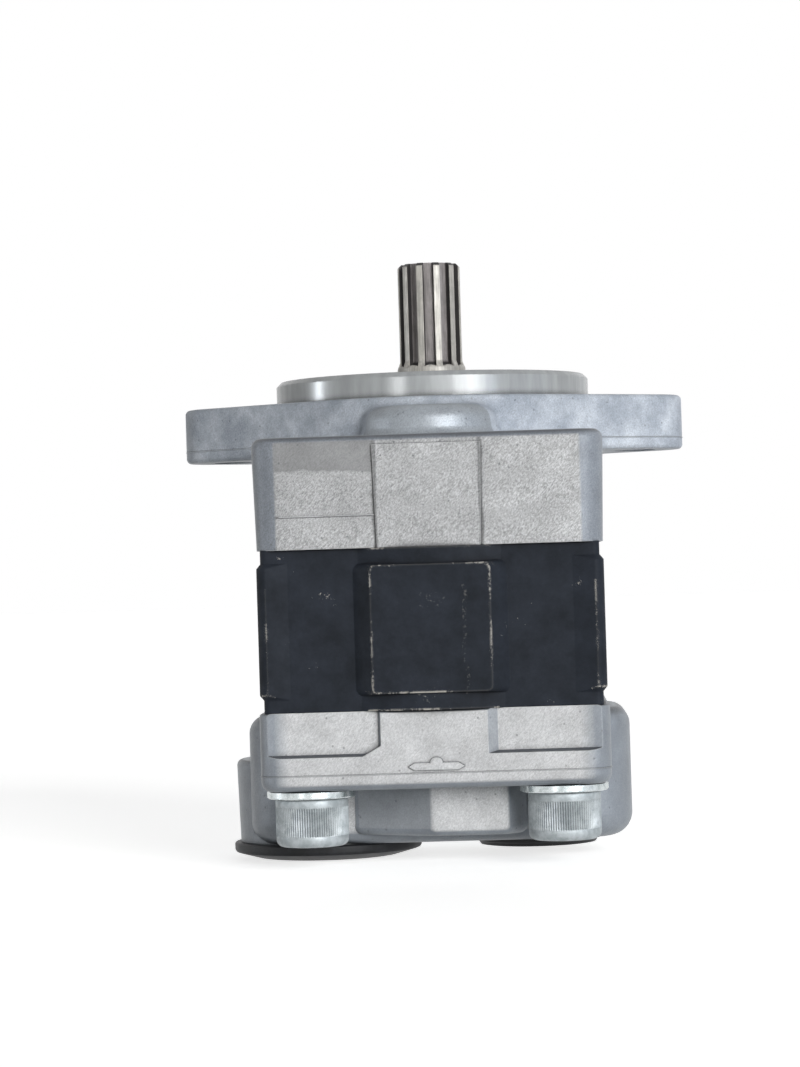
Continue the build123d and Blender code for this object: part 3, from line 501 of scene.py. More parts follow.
@dataclass(frozen=True)
class BlackCoating(Finish):
    """Black baked coating on a cast gear housing.

    It is a dull blue-black with a faint orange peel and a dusty bloom. It has
    chipped back to bright metal along the edges and in a few small scuffs.
    """

    coat: str = "#21252B"
    bloom: str = "#2D323B"
    bare: str = "#D2CEC6"
    peel_mm: float = 0.9
    bloom_mm: float = 9.0
    chip_mm: float = 0.9
    patch_mm: float = 9.0
    rub_x_mm: float = 10.0
    rub_z_mm: float = -61.0
    rub_half_mm: float = 13.5
    pad_rim_mm: float = 16.0
    outer_rim_mm: float = 38.5

    def surface(self, add: Add) -> Feeds:
        """Adds the nodes of the coating and its chips."""
        place = add("TexCoord").outputs["Object"]
        cloud = add("TexNoise", pattern(place, self.bloom_mm, 8.0, 0.7))
        share = add("MapRange", {0: cloud, 1: 0.35, 2: 0.7})
        coat = layers(add, self.coat, (share, self.bloom))
        crease = add("AmbientOcclusion", {"Distance": 4.0 * MM}, samples=12)
        open_air = crease.outputs["AO"]
        shade = add("MapRange", {0: open_air, 1: 0.5, 2: 0.95, 3: 0.25, 4: 1.0})
        shaded = add("Mix", {0: 1.0, 6: coat, 7: shade}, **TONE_MIX)
        chipped = self.chips(add, place, open_air)
        peel = add("TexNoise", pattern(place, self.peel_mm, 3.0, 0.6))
        height = chain(add, "SUBTRACT", peel, chipped)
        rounded = add("Bevel", {"Radius": 0.4 * MM}, samples=6)
        return {
            "Base Color": layers(add, shaded, (chipped, self.bare)),
            "Roughness": add("MapRange", {0: cloud, 1: 0.3, 2: 0.7, 3: 0.66, 4: 0.50}),
            "Specular IOR Level": 0.1,
            "Normal": add("Bump", bump(height, 0.45, 0.10, rounded)),
        }

    def chips(self, add: Add, place: Fed, open_air: Fed) -> Fed:
        """Adds the chips: edges broken up by noise, a few scuffs and a rubbed line.

        Args:
            add: Adds a node to the material's tree.
            place: Position on the housing.
            open_air: How open the surface is.

        Returns:
            Mask of the bare metal.
        """
        x, _, z = add("SeparateXYZ", {0: place}).outputs
        flat = add("NewGeometry").outputs["Normal"]
        reached = add("Bevel", {"Radius": 0.9 * MM}, samples=6)
        turn = add("VectorMath", {0: reached, 1: flat}, operation="DOT_PRODUCT")
        edge = add("MapRange", {0: turn, 1: 0.997, 2: 0.96})
        outer = add("MapRange", {0: open_air, 1: 0.95, 2: 0.99})
        # Only the pad's rim and the outer rims beside it have lost their coat
        aside = add("Math", {0: x}, operation="ABSOLUTE")
        pad = chain(add, "LESS_THAN", aside, self.pad_rim_mm * MM)
        rims = chain(add, "GREATER_THAN", aside, self.outer_rim_mm * MM)
        middle, half = self.rub_z_mm * MM, self.rub_half_mm * MM
        beside = add("Math", {0: z, 1: middle, 2: half}, operation="COMPARE")
        rims = chain(add, "MULTIPLY", rims, beside)
        zone = chain(add, "MAXIMUM", pad, rims)
        chips = add("TexNoise", pattern(place, self.chip_mm, 5.0, 0.8))
        patch = add("TexNoise", pattern(place, self.patch_mm))
        both = chain(add, "ADD", chips, patch)
        broken = add("MapRange", {0: both, 1: 1.03, 2: 1.07, 3: 0.07, 4: 1.0})
        edges = chain(add, "MULTIPLY", edge, outer, zone, broken)
        scuffs = add("MapRange", {0: both, 1: 1.32, 2: 1.35, 4: 0.6})
        swayed = add("Math", {0: patch, 1: 4.0 * MM, 2: x}, operation="MULTIPLY_ADD")
        line = add(
            "Math", {0: swayed, 1: self.rub_x_mm * MM, 2: 0.5 * MM}, operation="COMPARE"
        )
        rubbed = add("MapRange", {0: chips, 1: 0.54, 2: 0.70, 4: 0.22})
        rub = chain(add, "MULTIPLY", line, rubbed, beside)
        return chain(add, "MAXIMUM", edges, scuffs, rub)


@dataclass(frozen=True)
class ShaftSteel(Finish):
    """Case-hardened shaft steel, hobbed and then ground on its lands.

    The ground tips are light. Valley floors keep the mauve-grey tint of heat treatment
    and the flanks its darker oxide. Fine drag lines along the shaft are drawn a little
    coarser than the real ones, so that they show.
    """

    ground: str = "#BDBAB3"
    floor: str = "#8F8A89"
    flank: str = "#3B3939"
    floor_mm: float = 6.75
    tip_mm: float = 8.12
    axis_y_mm: float = 0.0
    drag_mm: float = 0.35
    stain_mm: float = 6.0

    def surface(self, add: Add) -> Feeds:
        """Adds the nodes of the steel, told apart by the distance from its axis."""
        place = add("TexCoord").outputs["Object"]
        centre = (0.0, -self.axis_y_mm * MM, 0.0)
        centred = add("VectorMath", {0: place, 1: centre}, operation="ADD")
        level = add("VectorMath", {0: centred, 1: (1.0, 1.0, 0.0)}, operation="MULTIPLY")
        reach = add("VectorMath", {0: level}, operation="LENGTH")
        tip = add("MapRange", ramp(reach, self.tip_mm - 0.12, self.tip_mm))
        deep = ramp(reach, self.floor_mm, self.floor_mm + 0.25)
        deep = add("MapRange", {**deep, 3: 1.0, 4: 0.0})
        steel = layers(add, self.flank, (deep, self.floor), (tip, self.ground))
        drawn = add("Mapping", {"Vector": place, "Scale": (1.0, 1.0, 0.06)})
        drag = add("TexNoise", pattern(drawn, self.drag_mm, 3.0))
        stain = add("TexNoise", pattern(place, self.stain_mm, 5.0, 0.7))
        streak = chain(add, "MULTIPLY", drag, stain)
        streak = add("MapRange", {0: streak, 1: 0.14, 2: 0.38, 3: 0.66, 4: 1.12})
        rounded = add("Bevel", {"Radius": 0.2 * MM}, samples=4)
        return {
            "Base Color": add("Mix", {0: 1.0, 6: steel, 7: streak}, **TONE_MIX),
            "Metallic": 0.18,
            "Specular IOR Level": 0.3,
            "Roughness": add("MapRange", {0: drag, 1: 0.3, 2: 0.7, 3: 0.52, 4: 0.36}),
            "Normal": add("Bump", bump(drag, 0.3, 0.02, rounded)),
        }


@dataclass(frozen=True)
class ZincPlate(Finish):
    """Bright zinc plate on steel screws and washers.

    Plating gives a pale blue-grey metal with soft cloudy stains. Painted shade darkens
    the grooves between the knurls.
    """

    plate: str = "#BFC6C9"
    stain: str = "#A2AAAD"
    metallic: float = 0.25
    roughness: float = 0.5
    cloud_mm: float = 2.4
    speck_mm: float = 0.35

    def surface(self, add: Add) -> Feeds:
        """Adds the nodes of the plating."""
        place = add("TexCoord").outputs["Object"]
        cloud = add("TexNoise", pattern(place, self.cloud_mm, 5.0, 0.7))
        speck = add("TexNoise", pattern(place, self.speck_mm))
        share = add("MapRange", {0: cloud, 1: 0.38, 2: 0.6})
        colour = layers(add, self.stain, (share, self.plate))
        # Painted shade: ambient occlusion darkens the grooves between the knurls.
        groove = add("AmbientOcclusion", {"Distance": 0.5 * MM}, samples=6).outputs["AO"]
        painted_groove_shade = add("MapRange", {0: groove, 1: 0.42, 2: 0.88, 3: 0.10, 4: 1.0})
        dull, clear = self.roughness + 0.08, self.roughness - 0.08
        return {
            "Base Color": add("Mix", {0: 1.0, 6: colour, 7: painted_groove_shade}, **TONE_MIX),
            "Metallic": self.metallic,
            "Roughness": add("MapRange", {0: cloud, 1: 0.3, 2: 0.7, 3: dull, 4: clear}),
            "Normal": add("Bump", bump(speck, 0.25, 0.03)),
        }


@dataclass(frozen=True)
class Polyethylene(Finish):
    """Low-density polyethylene, injection moulded in black.

    The moulding is a soft satin black with a faint waxy sheen, light scuffs from
    handling and a fine moulded grain.
    """

    body: str = "#17181A"
    scuff: str = "#303235"
    grain_mm: float = 0.5
    scuff_mm: float = 5.0

    def surface(self, add: Add) -> Feeds:
        """Adds the nodes of the moulding."""
        place = add("TexCoord").outputs["Object"]
        rub = add("TexNoise", pattern(place, self.scuff_mm, 8.0, 0.72))
        share = add("MapRange", {0: rub, 1: 0.42, 2: 0.75})
        grain = add("TexNoise", pattern(place, self.grain_mm))
        return {
            "Base Color": layers(add, self.body, (share, self.scuff)),
            "Specular IOR Level": 0.25,
            "Roughness": add("MapRange", {0: rub, 1: 0.3, 2: 0.7, 3: 0.42, 4: 0.58}),
            "Normal": add("Bump", bump(grain, 0.2, 0.04)),
        }


@dataclass(frozen=True)
class InnerMetal(Finish):
    """Machined inner metal, such as leaded bronze or phosphated spring steel.

    It shows a two-tone mottle, coarser than the metal's grain so that it shows, and a
    fine tool grain.
    """

    light: str = "#B08A54"
    dark: str = "#8A6A3C"
    roughness: float = 0.38
    metallic: float = 0.95
    mottle_mm: float = 1.8
    tool_mm: float = 0.3

    def surface(self, add: Add) -> Feeds:
        """Adds the nodes of the machined metal."""
        place = add("TexCoord").outputs["Object"]
        mottle = add("TexNoise", pattern(place, self.mottle_mm, 4.0))
        tool = add("TexNoise", pattern(place, self.tool_mm))
        clear, dull = self.roughness - 0.06, self.roughness + 0.08
        return {
            "Base Color": layers(add, self.dark, (mottle, self.light)),
            "Metallic": self.metallic,
            "Roughness": add("MapRange", {0: tool, 1: 0.3, 2: 0.7, 3: clear, 4: dull}),
            "Normal": add("Bump", bump(tool, 0.2, 0.02)),
        }


class Body(Enum):
    """Bodies of the frame that pieces ride on."""

    PUMP = "pump_body"
    SUCTION_CAP = "suction_cap"
    PRESSURE_CAP = "pressure_cap"


def link_mesh(
    name: str, mesh: bmesh.types.BMesh, material: bpy.types.Material
) -> bpy.types.Object:
    """Turns a finished bmesh, which it frees, into an object of the scene."""
    data = bpy.data.meshes.new(name)
    mesh.to_mesh(data)
    mesh.free()
    data.materials.append(material)
    item = bpy.data.objects.new(name, data)
    bpy.context.scene.collection.objects.link(item)
    LOG.info("%s: %d faces", name, len(data.polygons))
    return item


def make_piece(
    name: str, mesh: bmesh.types.BMesh, material: bpy.types.Material, body: Body
) -> bpy.types.Object:
    """Turns a finished bmesh into a piece that rides on a body.

    Args:
        name: Name of the piece.
        mesh: Mesh in metres, in the frame's coordinates. It is freed here.
        material: Finish of the piece.
        body: Body that the piece moves with.

    Returns:
        The new object.
    """
    bmesh.ops.recalc_face_normals(mesh, faces=mesh.faces)
    piece = link_mesh(name, mesh, material)
    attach(piece, body.value)
    return piece


def add_point(mesh: bmesh.types.BMesh, x: float, y: float, z: float) -> bmesh.types.BMVert:
    """Adds a point given in millimetres."""
    return mesh.verts.new((x * MM, y * MM, z * MM))


def add_ring(
    mesh: bmesh.types.BMesh, place: Point, height: float, radii: list[float], turn: float = 0.0
) -> list[bmesh.types.BMVert]:
    """Adds a level ring of points round an axis.

    Args:
        mesh: Mesh that takes the ring.
        place: The axis, in millimetres.
        height: Height of the ring.
        radii: Radius of each point.
        turn: Angle of the first point in radians.

    Returns:
        The points in order.
    """
    angles = [turn + 2 * math.pi * i / len(radii) for i in range(len(radii))]
    return [
        add_point(mesh, place[0] + r * math.cos(a), place[1] + r * math.sin(a), height)
        for r, a in zip(radii, angles)
    ]


def bridge(
    mesh: bmesh.types.BMesh, one: list[bmesh.types.BMVert], two: list[bmesh.types.BMVert]
) -> None:
    """Joins two closed rings of the same count with quads."""
    for i in range(len(one)):
        j = (i + 1) % len(one)
        mesh.faces.new((one[i], one[j], two[j], two[i]))


def lathe(mesh: bmesh.types.BMesh, place: Point, profile: list[Point], sides: int) -> None:
    """Turns a profile of radii and heights round an axis, all in millimetres."""
    rings = [add_ring(mesh, place, height, [radius] * sides) for radius, height in profile]
    for one, two in zip(rings, rings[1:]):
        bridge(mesh, one, two)


def finish_mesh(mesh: bmesh.types.BMesh, sharp: float) -> None:
    """Merges doubled points, and shades smooth what is blunter than the angle in degrees."""
    bmesh.ops.remove_doubles(mesh, verts=mesh.verts, dist=WELD)
    bmesh.ops.dissolve_degenerate(mesh, edges=mesh.edges, dist=WELD)
    limit = math.radians(sharp)
    for face in mesh.faces:
        face.smooth = True
    for edge in mesh.edges:
        edge.smooth = len(edge.link_faces) == 2 and edge.calc_face_angle(0.0) < limit


def add_thread(
    mesh: bmesh.types.BMesh,
    place: Point,
    heights: Point,
    radii: Point,
    ends: Point,
    pitch: float,
    sides: int,
    turn: float = 0.0,
) -> None:
    """Adds a helical surface that starts and ends in plain rings.

    Args:
        mesh: Mesh that takes the thread. Its doubled points are merged later.
        place: The axis, in millimetres.
        heights: Lowest and highest height.
        radii: The thread's two radii. Each covers a quarter of the pitch, and slopes the rest.
        ends: Radius of the lowest ring and of the highest ring.
        pitch: Rise per turn.
        sides: Columns round the axis.
        turn: Angle of the first column in radians.
    """
    low, high = heights
    count = int((high - low) / pitch * 4) + 8
    profile = (radii[0], radii[0], radii[1], radii[1])
    grid = []
    for row in range(-4, count + 1):
        line = []
        for i in range(sides):
            height = low + (row / 4 + i / sides) * pitch
            radius = profile[row % 4]
            if height <= low:
                height, radius = low, ends[0]
            elif height >= high:
                height, radius = high, ends[1]
            angle = turn + 2 * math.pi * i / sides
            x = place[0] + radius * math.cos(angle)
            y = place[1] + radius * math.sin(angle)
            line.append(add_point(mesh, x, y, height))
        grid.append(line)
    for row in range(len(grid) - 1):
        one, two = grid[row], grid[row + 1]
        for i in range(sides - 1):
            mesh.faces.new((one[i], one[i + 1], two[i + 1], two[i]))
        if row + 5 < len(grid):
            mesh.faces.new((one[-1], grid[row + 4][0], grid[row + 5][0], two[-1]))


@dataclass(frozen=True)
class Lamp:
    """A sun, placed by its azimuth from the photograph's side and its elevation, in degrees."""

    name: str
    azimuth: float
    elevation: float
    strength: float
    spread: float
    colour: str = "#FFFFFF"
    in_diffuse: bool = True
    in_gloss: bool = True

    def build(self) -> None:
        """Places the lamp."""
        data = bpy.data.lights.new(self.name, "SUN")
        data.energy = self.strength
        data.angle = math.radians(self.spread)
        data.color = linear(self.colour)[:3]
        lamp = bpy.data.objects.new(self.name, data)
        lamp.visible_diffuse = self.in_diffuse
        lamp.visible_glossy = self.in_gloss
        bpy.context.scene.collection.objects.link(lamp)
        turn, rise = math.radians(self.azimuth), math.radians(self.elevation)
        across = math.cos(rise)
        towards = Vector((math.sin(turn) * across, -math.cos(turn) * across, math.sin(rise)))
        lamp.rotation_mode = "QUATERNION"
        lamp.rotation_quaternion = towards.to_track_quat("Z", "Y")


# The key stands right of the camera. Back lamps stay out of the gloss, or the rims would
# vanish in white. Strips reach gloss only: they draw the upright streaks on turned metal.
LAMPS = (
    Lamp("key", 28.0, 12.0, 2.42, 26.0),
    Lamp("left", -85.0, 10.0, 0.10, 40.0, "#F4F8FF"),
    Lamp("right", 75.0, 10.0, 0.20, 40.0, "#B9D2F8"),
    Lamp("back_right", 160.0, 9.0, 1.1, 40.0, in_gloss=False),
    Lamp("back_left", -160.0, 9.0, 1.1, 40.0, in_gloss=False),
    Lamp("strip_left", -90.0, 4.0, 0.45, 3.0, "#F6FAFF", in_diffuse=False),
    Lamp("strip_middle", -23.0, 4.0, 0.30, 3.0, in_diffuse=False),
    Lamp("strip_near", 6.0, 4.0, 0.12, 10.0, in_diffuse=False),
    Lamp("strip_right", 44.0, 4.0, 0.15, 2.5, "#DCEBFF", in_diffuse=False),
)


@dataclass
class Studio:
    """Camera, lamps, floor and background. Sizes are millimetres in the pump's frame."""

    camera_distance: float = 900.0
    camera_azimuth: float = 1.55
    camera_height: float = -43.0
    aim_right: float = -9.7
    aim_height: float = -34.3
    roll: float = 1.75
    focal_length: float = 114.4
    sensor: float = 36.0
    clip: tuple[float, float] = (10.0, 50000.0)
    floor_size: float = 12000.0
    floor_gap: float = 0.3
    floor_colour: str = "#F2F2F0"
    floor_glow: float = 0.72
    world_strength: float = 0.08

    def build(self) -> None:
        """Builds the whole studio."""
        self.build_camera()
        self.build_floor()
        self.build_world()
        for lamp in LAMPS:
            lamp.build()
        bpy.context.scene.view_settings.view_transform = "Standard"

    def build_camera(self) -> None:
        """Places the camera at the photograph's angle."""
        turn, lean = math.radians(self.camera_azimuth), math.radians(self.roll)
        sine, cosine = math.sin(turn), math.cos(turn)
        reach = self.camera_distance
        eye = Vector((reach * sine, -reach * cosine, self.camera_height))
        aim = Vector((cosine * self.aim_right, sine * self.aim_right, self.aim_height))
        back = (eye - aim).normalized()
        side = Vector((0.0, 0.0, 1.0)).cross(back).normalized()
        up = back.cross(side) * math.cos(lean) + side * math.sin(lean)
        data = bpy.data.cameras.new("camera")
        data.lens = self.focal_length
        data.sensor_width = self.sensor
        data.clip_start, data.clip_end = (length * MM for length in self.clip)
        camera = bpy.data.objects.new("camera", data)
        bpy.context.scene.collection.objects.link(camera)
        turned = Matrix((up.cross(back), up, back)).transposed()
        camera.matrix_world = Matrix.Translation(eye * MM) @ turned.to_4x4()
        bpy.context.scene.camera = camera

    def build_floor(self) -> None:
        """Builds the pale floor, which glows to white for the camera and keeps the shadow."""
        mesh = bmesh.new()
        bmesh.ops.create_grid(mesh, x_segments=1, y_segments=1, size=self.floor_size / 2 * MM)
        low = CAD_BOX[0].z - self.floor_gap * MM
        bmesh.ops.translate(mesh, vec=(0.0, 0.0, low), verts=mesh.verts)
        material = bpy.data.materials.new("pale_floor")
        material.use_nodes = True
        tree = material.node_tree
        add = partial(add_node, tree)
        direct, _ = self.rays(add)
        inputs = {
            "Base Color": linear(self.floor_colour),
            "Roughness": 0.9,
            "Specular IOR Level": 0.0,
            "Emission Color": linear("#FFFFFF"),
            "Emission Strength": chain(add, "MULTIPLY", direct, self.floor_glow),
        }
        feed(tree, tree.nodes["Principled BSDF"], inputs)
        floor = link_mesh("studio_floor", mesh, material)

    def build_world(self) -> None:
        """Sets a white background for what the camera and gloss see, and a plain fill light."""
        world = bpy.data.worlds.new("studio")
        bpy.context.scene.world = world
        world.use_nodes = True
        tree = world.node_tree
        add = partial(add_node, tree)
        direct, seen = self.rays(add)
        through = chain(add, "MAXIMUM", direct, seen.outputs["Is Transmission Ray"])
        strength = add("Mix", {0: through, 2: self.world_strength, 3: 1.0})
        inputs = {"Color": linear("#FFFFFF"), "Strength": strength}
        feed(tree, tree.nodes["Background"], inputs)

    def rays(self, add: Add) -> tuple[Fed, bpy.types.Node]:
        """Adds the mask of what the camera and gloss see, and the light path behind it."""
        seen = add("LightPath")
        rays = seen.outputs
        return chain(add, "MAXIMUM", rays["Is Camera Ray"], rays["Is Glossy Ray"]), seen


@dataclass
class CoverScrews:
    """Four M12 socket-head cap screws, with knurled heads, that clamp the covers together."""

    seat_z: float = -99.4
    head_radius: float = 9.0
    head_height: float = 12.0
    knurls: int = 90
    knurl_depth: float = 0.32
    knurl_top: float = 2.3
    knurl_bottom: float = 9.2
    foot_radius: float = 1.9
    foot_steps: int = 6
    socket_flats: float = 10.0
    socket_mouth: float = 6.35
    socket_chamfer: float = 0.45
    socket_depth: float = 6.0
    socket_cone: float = 1.6
    shank_radius: float = 6.0
    neck_radius: float = 0.35
    core_radius: float = 5.1
    length: float = 80.0
    thread_length: float = 36.0
    tip_chamfer: float = 1.0
    pitch: float = 1.75
    shank_sides: int = 36
    turn_apart: float = 0.37

    def build(self, zinc: bpy.types.Material) -> None:
        """Builds the four screws in place of their CAD nodes.

        Args:
            zinc: Finish of the screws.
        """
        for number in range(1, 5):
            low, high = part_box(f"cover_bolt_{number}")
            place = ((low.x + high.x) / 2 / MM, (low.y + high.y) / 2 / MM)
            mesh = self.screw_mesh(place, turn=self.turn_apart * number)
            piece = make_piece(f"socket_screw_{number}", mesh, zinc, Body.PUMP)
            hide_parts(f"cover_bolt_{number}")

    def head_rings(self) -> list[tuple[float, float, float]]:
        """Lists the head's rings from washer to socket: depth, radius and knurl share."""
        full, foot = self.head_radius, self.foot_radius
        rings = [
            (0.0, full - 0.45, 0.0),
            (0.25, full - 0.12, 0.0),
            (0.6, full - 0.03, 0.0),
            (self.knurl_top - 0.25, full - 0.03, 0.0),
            (self.knurl_top + 0.15, full, 1.0),
            (self.knurl_bottom - 0.15, full, 1.0),
            (self.knurl_bottom + 0.3, full - 0.05, 0.0),
        ]
        for step in range(1, self.foot_steps + 1):
            angle = math.pi / 2 * step / self.foot_steps
            depth = self.head_height - foot * (1 - math.sin(angle))
            rings.append((depth, full - foot * (1 - math.cos(angle)), 0.0))
        return rings

    def screw_mesh(self, place: Point, turn: float) -> bmesh.types.BMesh:
        """Builds one screw.

        Args:
            place: The screw's axis, in millimetres.
            turn: Angle of its socket in radians.

        Returns:
            The closed mesh.
        """
        mesh = bmesh.new()
        rim = self.add_head(mesh, place, turn)
        self.add_shank(mesh, place, turn, rim)
        finish_mesh(mesh, 40.0)
        return mesh

    def add_head(
        self, mesh: bmesh.types.BMesh, place: Point, turn: float
    ) -> list[bmesh.types.BMVert]:
        """Adds the knurled head and its hexagon socket.

        Args:
            mesh: Mesh that takes the head.
            place: The screw's axis, in millimetres.
            turn: Angle of its socket in radians.

        Returns:
            The open rim at the washer.
        """
        sides = 2 * self.knurls
        rows = []
        for depth, radius, share in self.head_rings():
            low = radius - share * self.knurl_depth
            rows.append((depth, [radius if i % 2 else low for i in range(sides)]))
        sector = math.pi / 3
        hexagon = [
            self.socket_flats / 2 / math.cos((2 * math.pi * i / sides) % sector - sector / 2)
            for i in range(sides)
        ]
        top, floor = self.head_height, self.head_height - self.socket_depth
        rows.append((top, [self.socket_mouth] * sides))
        rows.append((top - self.socket_chamfer, hexagon))
        rows.append((floor, hexagon))
        rows.append((floor - 0.1, [r * 0.9 for r in hexagon]))
        rings = [
            add_ring(mesh, place, self.seat_z - depth, radii, turn) for depth, radii in rows
        ]
        for one, two in zip(rings, rings[1:]):
            bridge(mesh, one, two)
        bottom = add_point(mesh, *place, self.seat_z - floor + self.socket_cone)
        for i in range(sides):
            mesh.faces.new((rings[-1][i], rings[-1][(i + 1) % sides], bottom))
        return rings[0]

    def add_shank(
        self, mesh: bmesh.types.BMesh, place: Point, turn: float, rim: list[bmesh.types.BMVert]
    ) -> None:
        """Adds the shank, which has fewer sides than the head and joins it by fans.

        Args:
            mesh: Mesh that takes the shank.
            place: The screw's axis, in millimetres.
            turn: Angle of its first point in radians.
            rim: The head's open rim.
        """
        count, core = self.shank_sides, self.core_radius
        step = len(rim) // count
        start = self.length - self.thread_length
        end = self.length - self.tip_chamfer
        neck, collar, shank, tip, point = (
            add_ring(mesh, place, self.seat_z + rise, [radius] * count, turn)
            for rise, radius in (
                (0.0, self.shank_radius + self.neck_radius),
                (self.neck_radius, self.shank_radius),
                (start, self.shank_radius),
                (end, core),
                (self.length, core - 0.6),
            )
        )
        for i in range(count):
            for k in range(i * step, (i + 1) * step):
                mesh.faces.new((rim[k], rim[(k + 1) % len(rim)], neck[i]))
            j = (i + 1) % count
            mesh.faces.new((rim[j * step], neck[j], neck[i]))
        bridge(mesh, neck, collar)
        bridge(mesh, collar, shank)
        heights = (self.seat_z + start, self.seat_z + end)
        radii, ends = (core, self.shank_radius), (self.shank_radius, core)
        add_thread(mesh, place, heights, radii, ends, self.pitch, count, turn)
        bridge(mesh, tip, point)
        mesh.faces.new(point)


@dataclass
class PortCap:
    """Push-in plastic cap: a thin rim, a shallow cone to a flat, and a ribbed spigot."""

    name: str
    node: str
    body: Body
    place: Point
    rim_radius: float
    rim_thickness: float
    flat_radius: float
    height: float
    spigot_radius: float
    spigot_length: float = 3.8
    spigot_wall: float = 2.6
    rib_height: float = 0.15
    face_z: float = -113.1
    sides: int = 96

    def build(self, plastic: bpy.types.Material) -> None:
        """Builds the cap in place of its CAD node.

        Args:
            plastic: Finish of the cap.
        """
        mesh = bmesh.new()
        profile = [(radius, rise + self.face_z) for radius, rise in self.profile()]
        lathe(mesh, self.place, profile, self.sides)
        finish_mesh(mesh, 35.0)
        piece = make_piece(self.name, mesh, plastic, self.body)
        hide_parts(self.node)

    def profile(self) -> list[Point]:
        """Lists radii and heights from the face's middle, round the rim, to the spigot's."""
        rim, flat, height = self.rim_radius, self.flat_radius, self.height
        thin, groove = self.rim_thickness, flat * 0.62
        crest, root = self.spigot_radius, self.spigot_radius - self.rib_height
        inner, long = crest - self.spigot_wall, self.spigot_length
        return [
            (0.0, -height + 0.25),
            (1.1, -height + 0.25),
            (1.5, -height),
            (groove, -height),
            (groove + 0.35, -height + 0.3),
            (groove + 1.0, -height + 0.3),
            (groove + 1.35, -height),
            (flat - 0.5, -height),
            (flat + 0.3, -height + 0.12),
            (rim - 1.0, -thin - 0.12),
            (rim - 0.35, -thin + 0.12),
            (rim - 0.05, -thin + 0.6),
            (rim, -thin + 0.9),
            (rim, -0.35),
            (rim - 0.3, -0.05),
            (rim - 0.6, 0.0),
            (crest - 0.1, 0.0),
            (root, 0.7),
            (crest, 1.0),
            (root, 1.3),
            (root, 2.0),
            (crest, 2.3),
            (root, 2.6),
            (crest - 0.2, long - 0.4),
            (crest - 0.6, long),
            (inner + 0.3, long),
            (inner, long - 0.3),
            (inner - 0.1, 0.4),
            (inner - 0.5, 0.0),
            (0.0, 0.0),
        ]


@dataclass
class PortThread:
    """Thread inside a port, seen once its cap is off."""

    name: str
    place: Point
    bore_radius: float
    top_z: float = -87.4
    bottom_z: float = -107.8
    pitch: float = 2.117
    proud: float = 0.5
    depth: float = 0.2
    buried: float = 0.5
    sides: int = 72

    def build(self, metal: bpy.types.Material) -> None:
        """Builds the thread as a tube whose outer part lies inside the casting.

        Args:
            metal: Finish of the casting.
        """
        mesh = bmesh.new()
        low, high = self.bottom_z, self.top_z
        crest, root = self.bore_radius - self.proud, self.bore_radius + self.depth
        outer = self.bore_radius + self.buried
        ends = (root, root)
        add_thread(mesh, self.place, (low, high), (crest, root), ends, self.pitch, self.sides)
        outside = [(root, low), (outer, low), (outer, high), (root, high)]
        lathe(mesh, self.place, outside, self.sides)
        finish_mesh(mesh, 35.0)
        make_piece(self.name, mesh, metal, Body.PUMP)


Outline = list[tuple[float, float, float, float]]


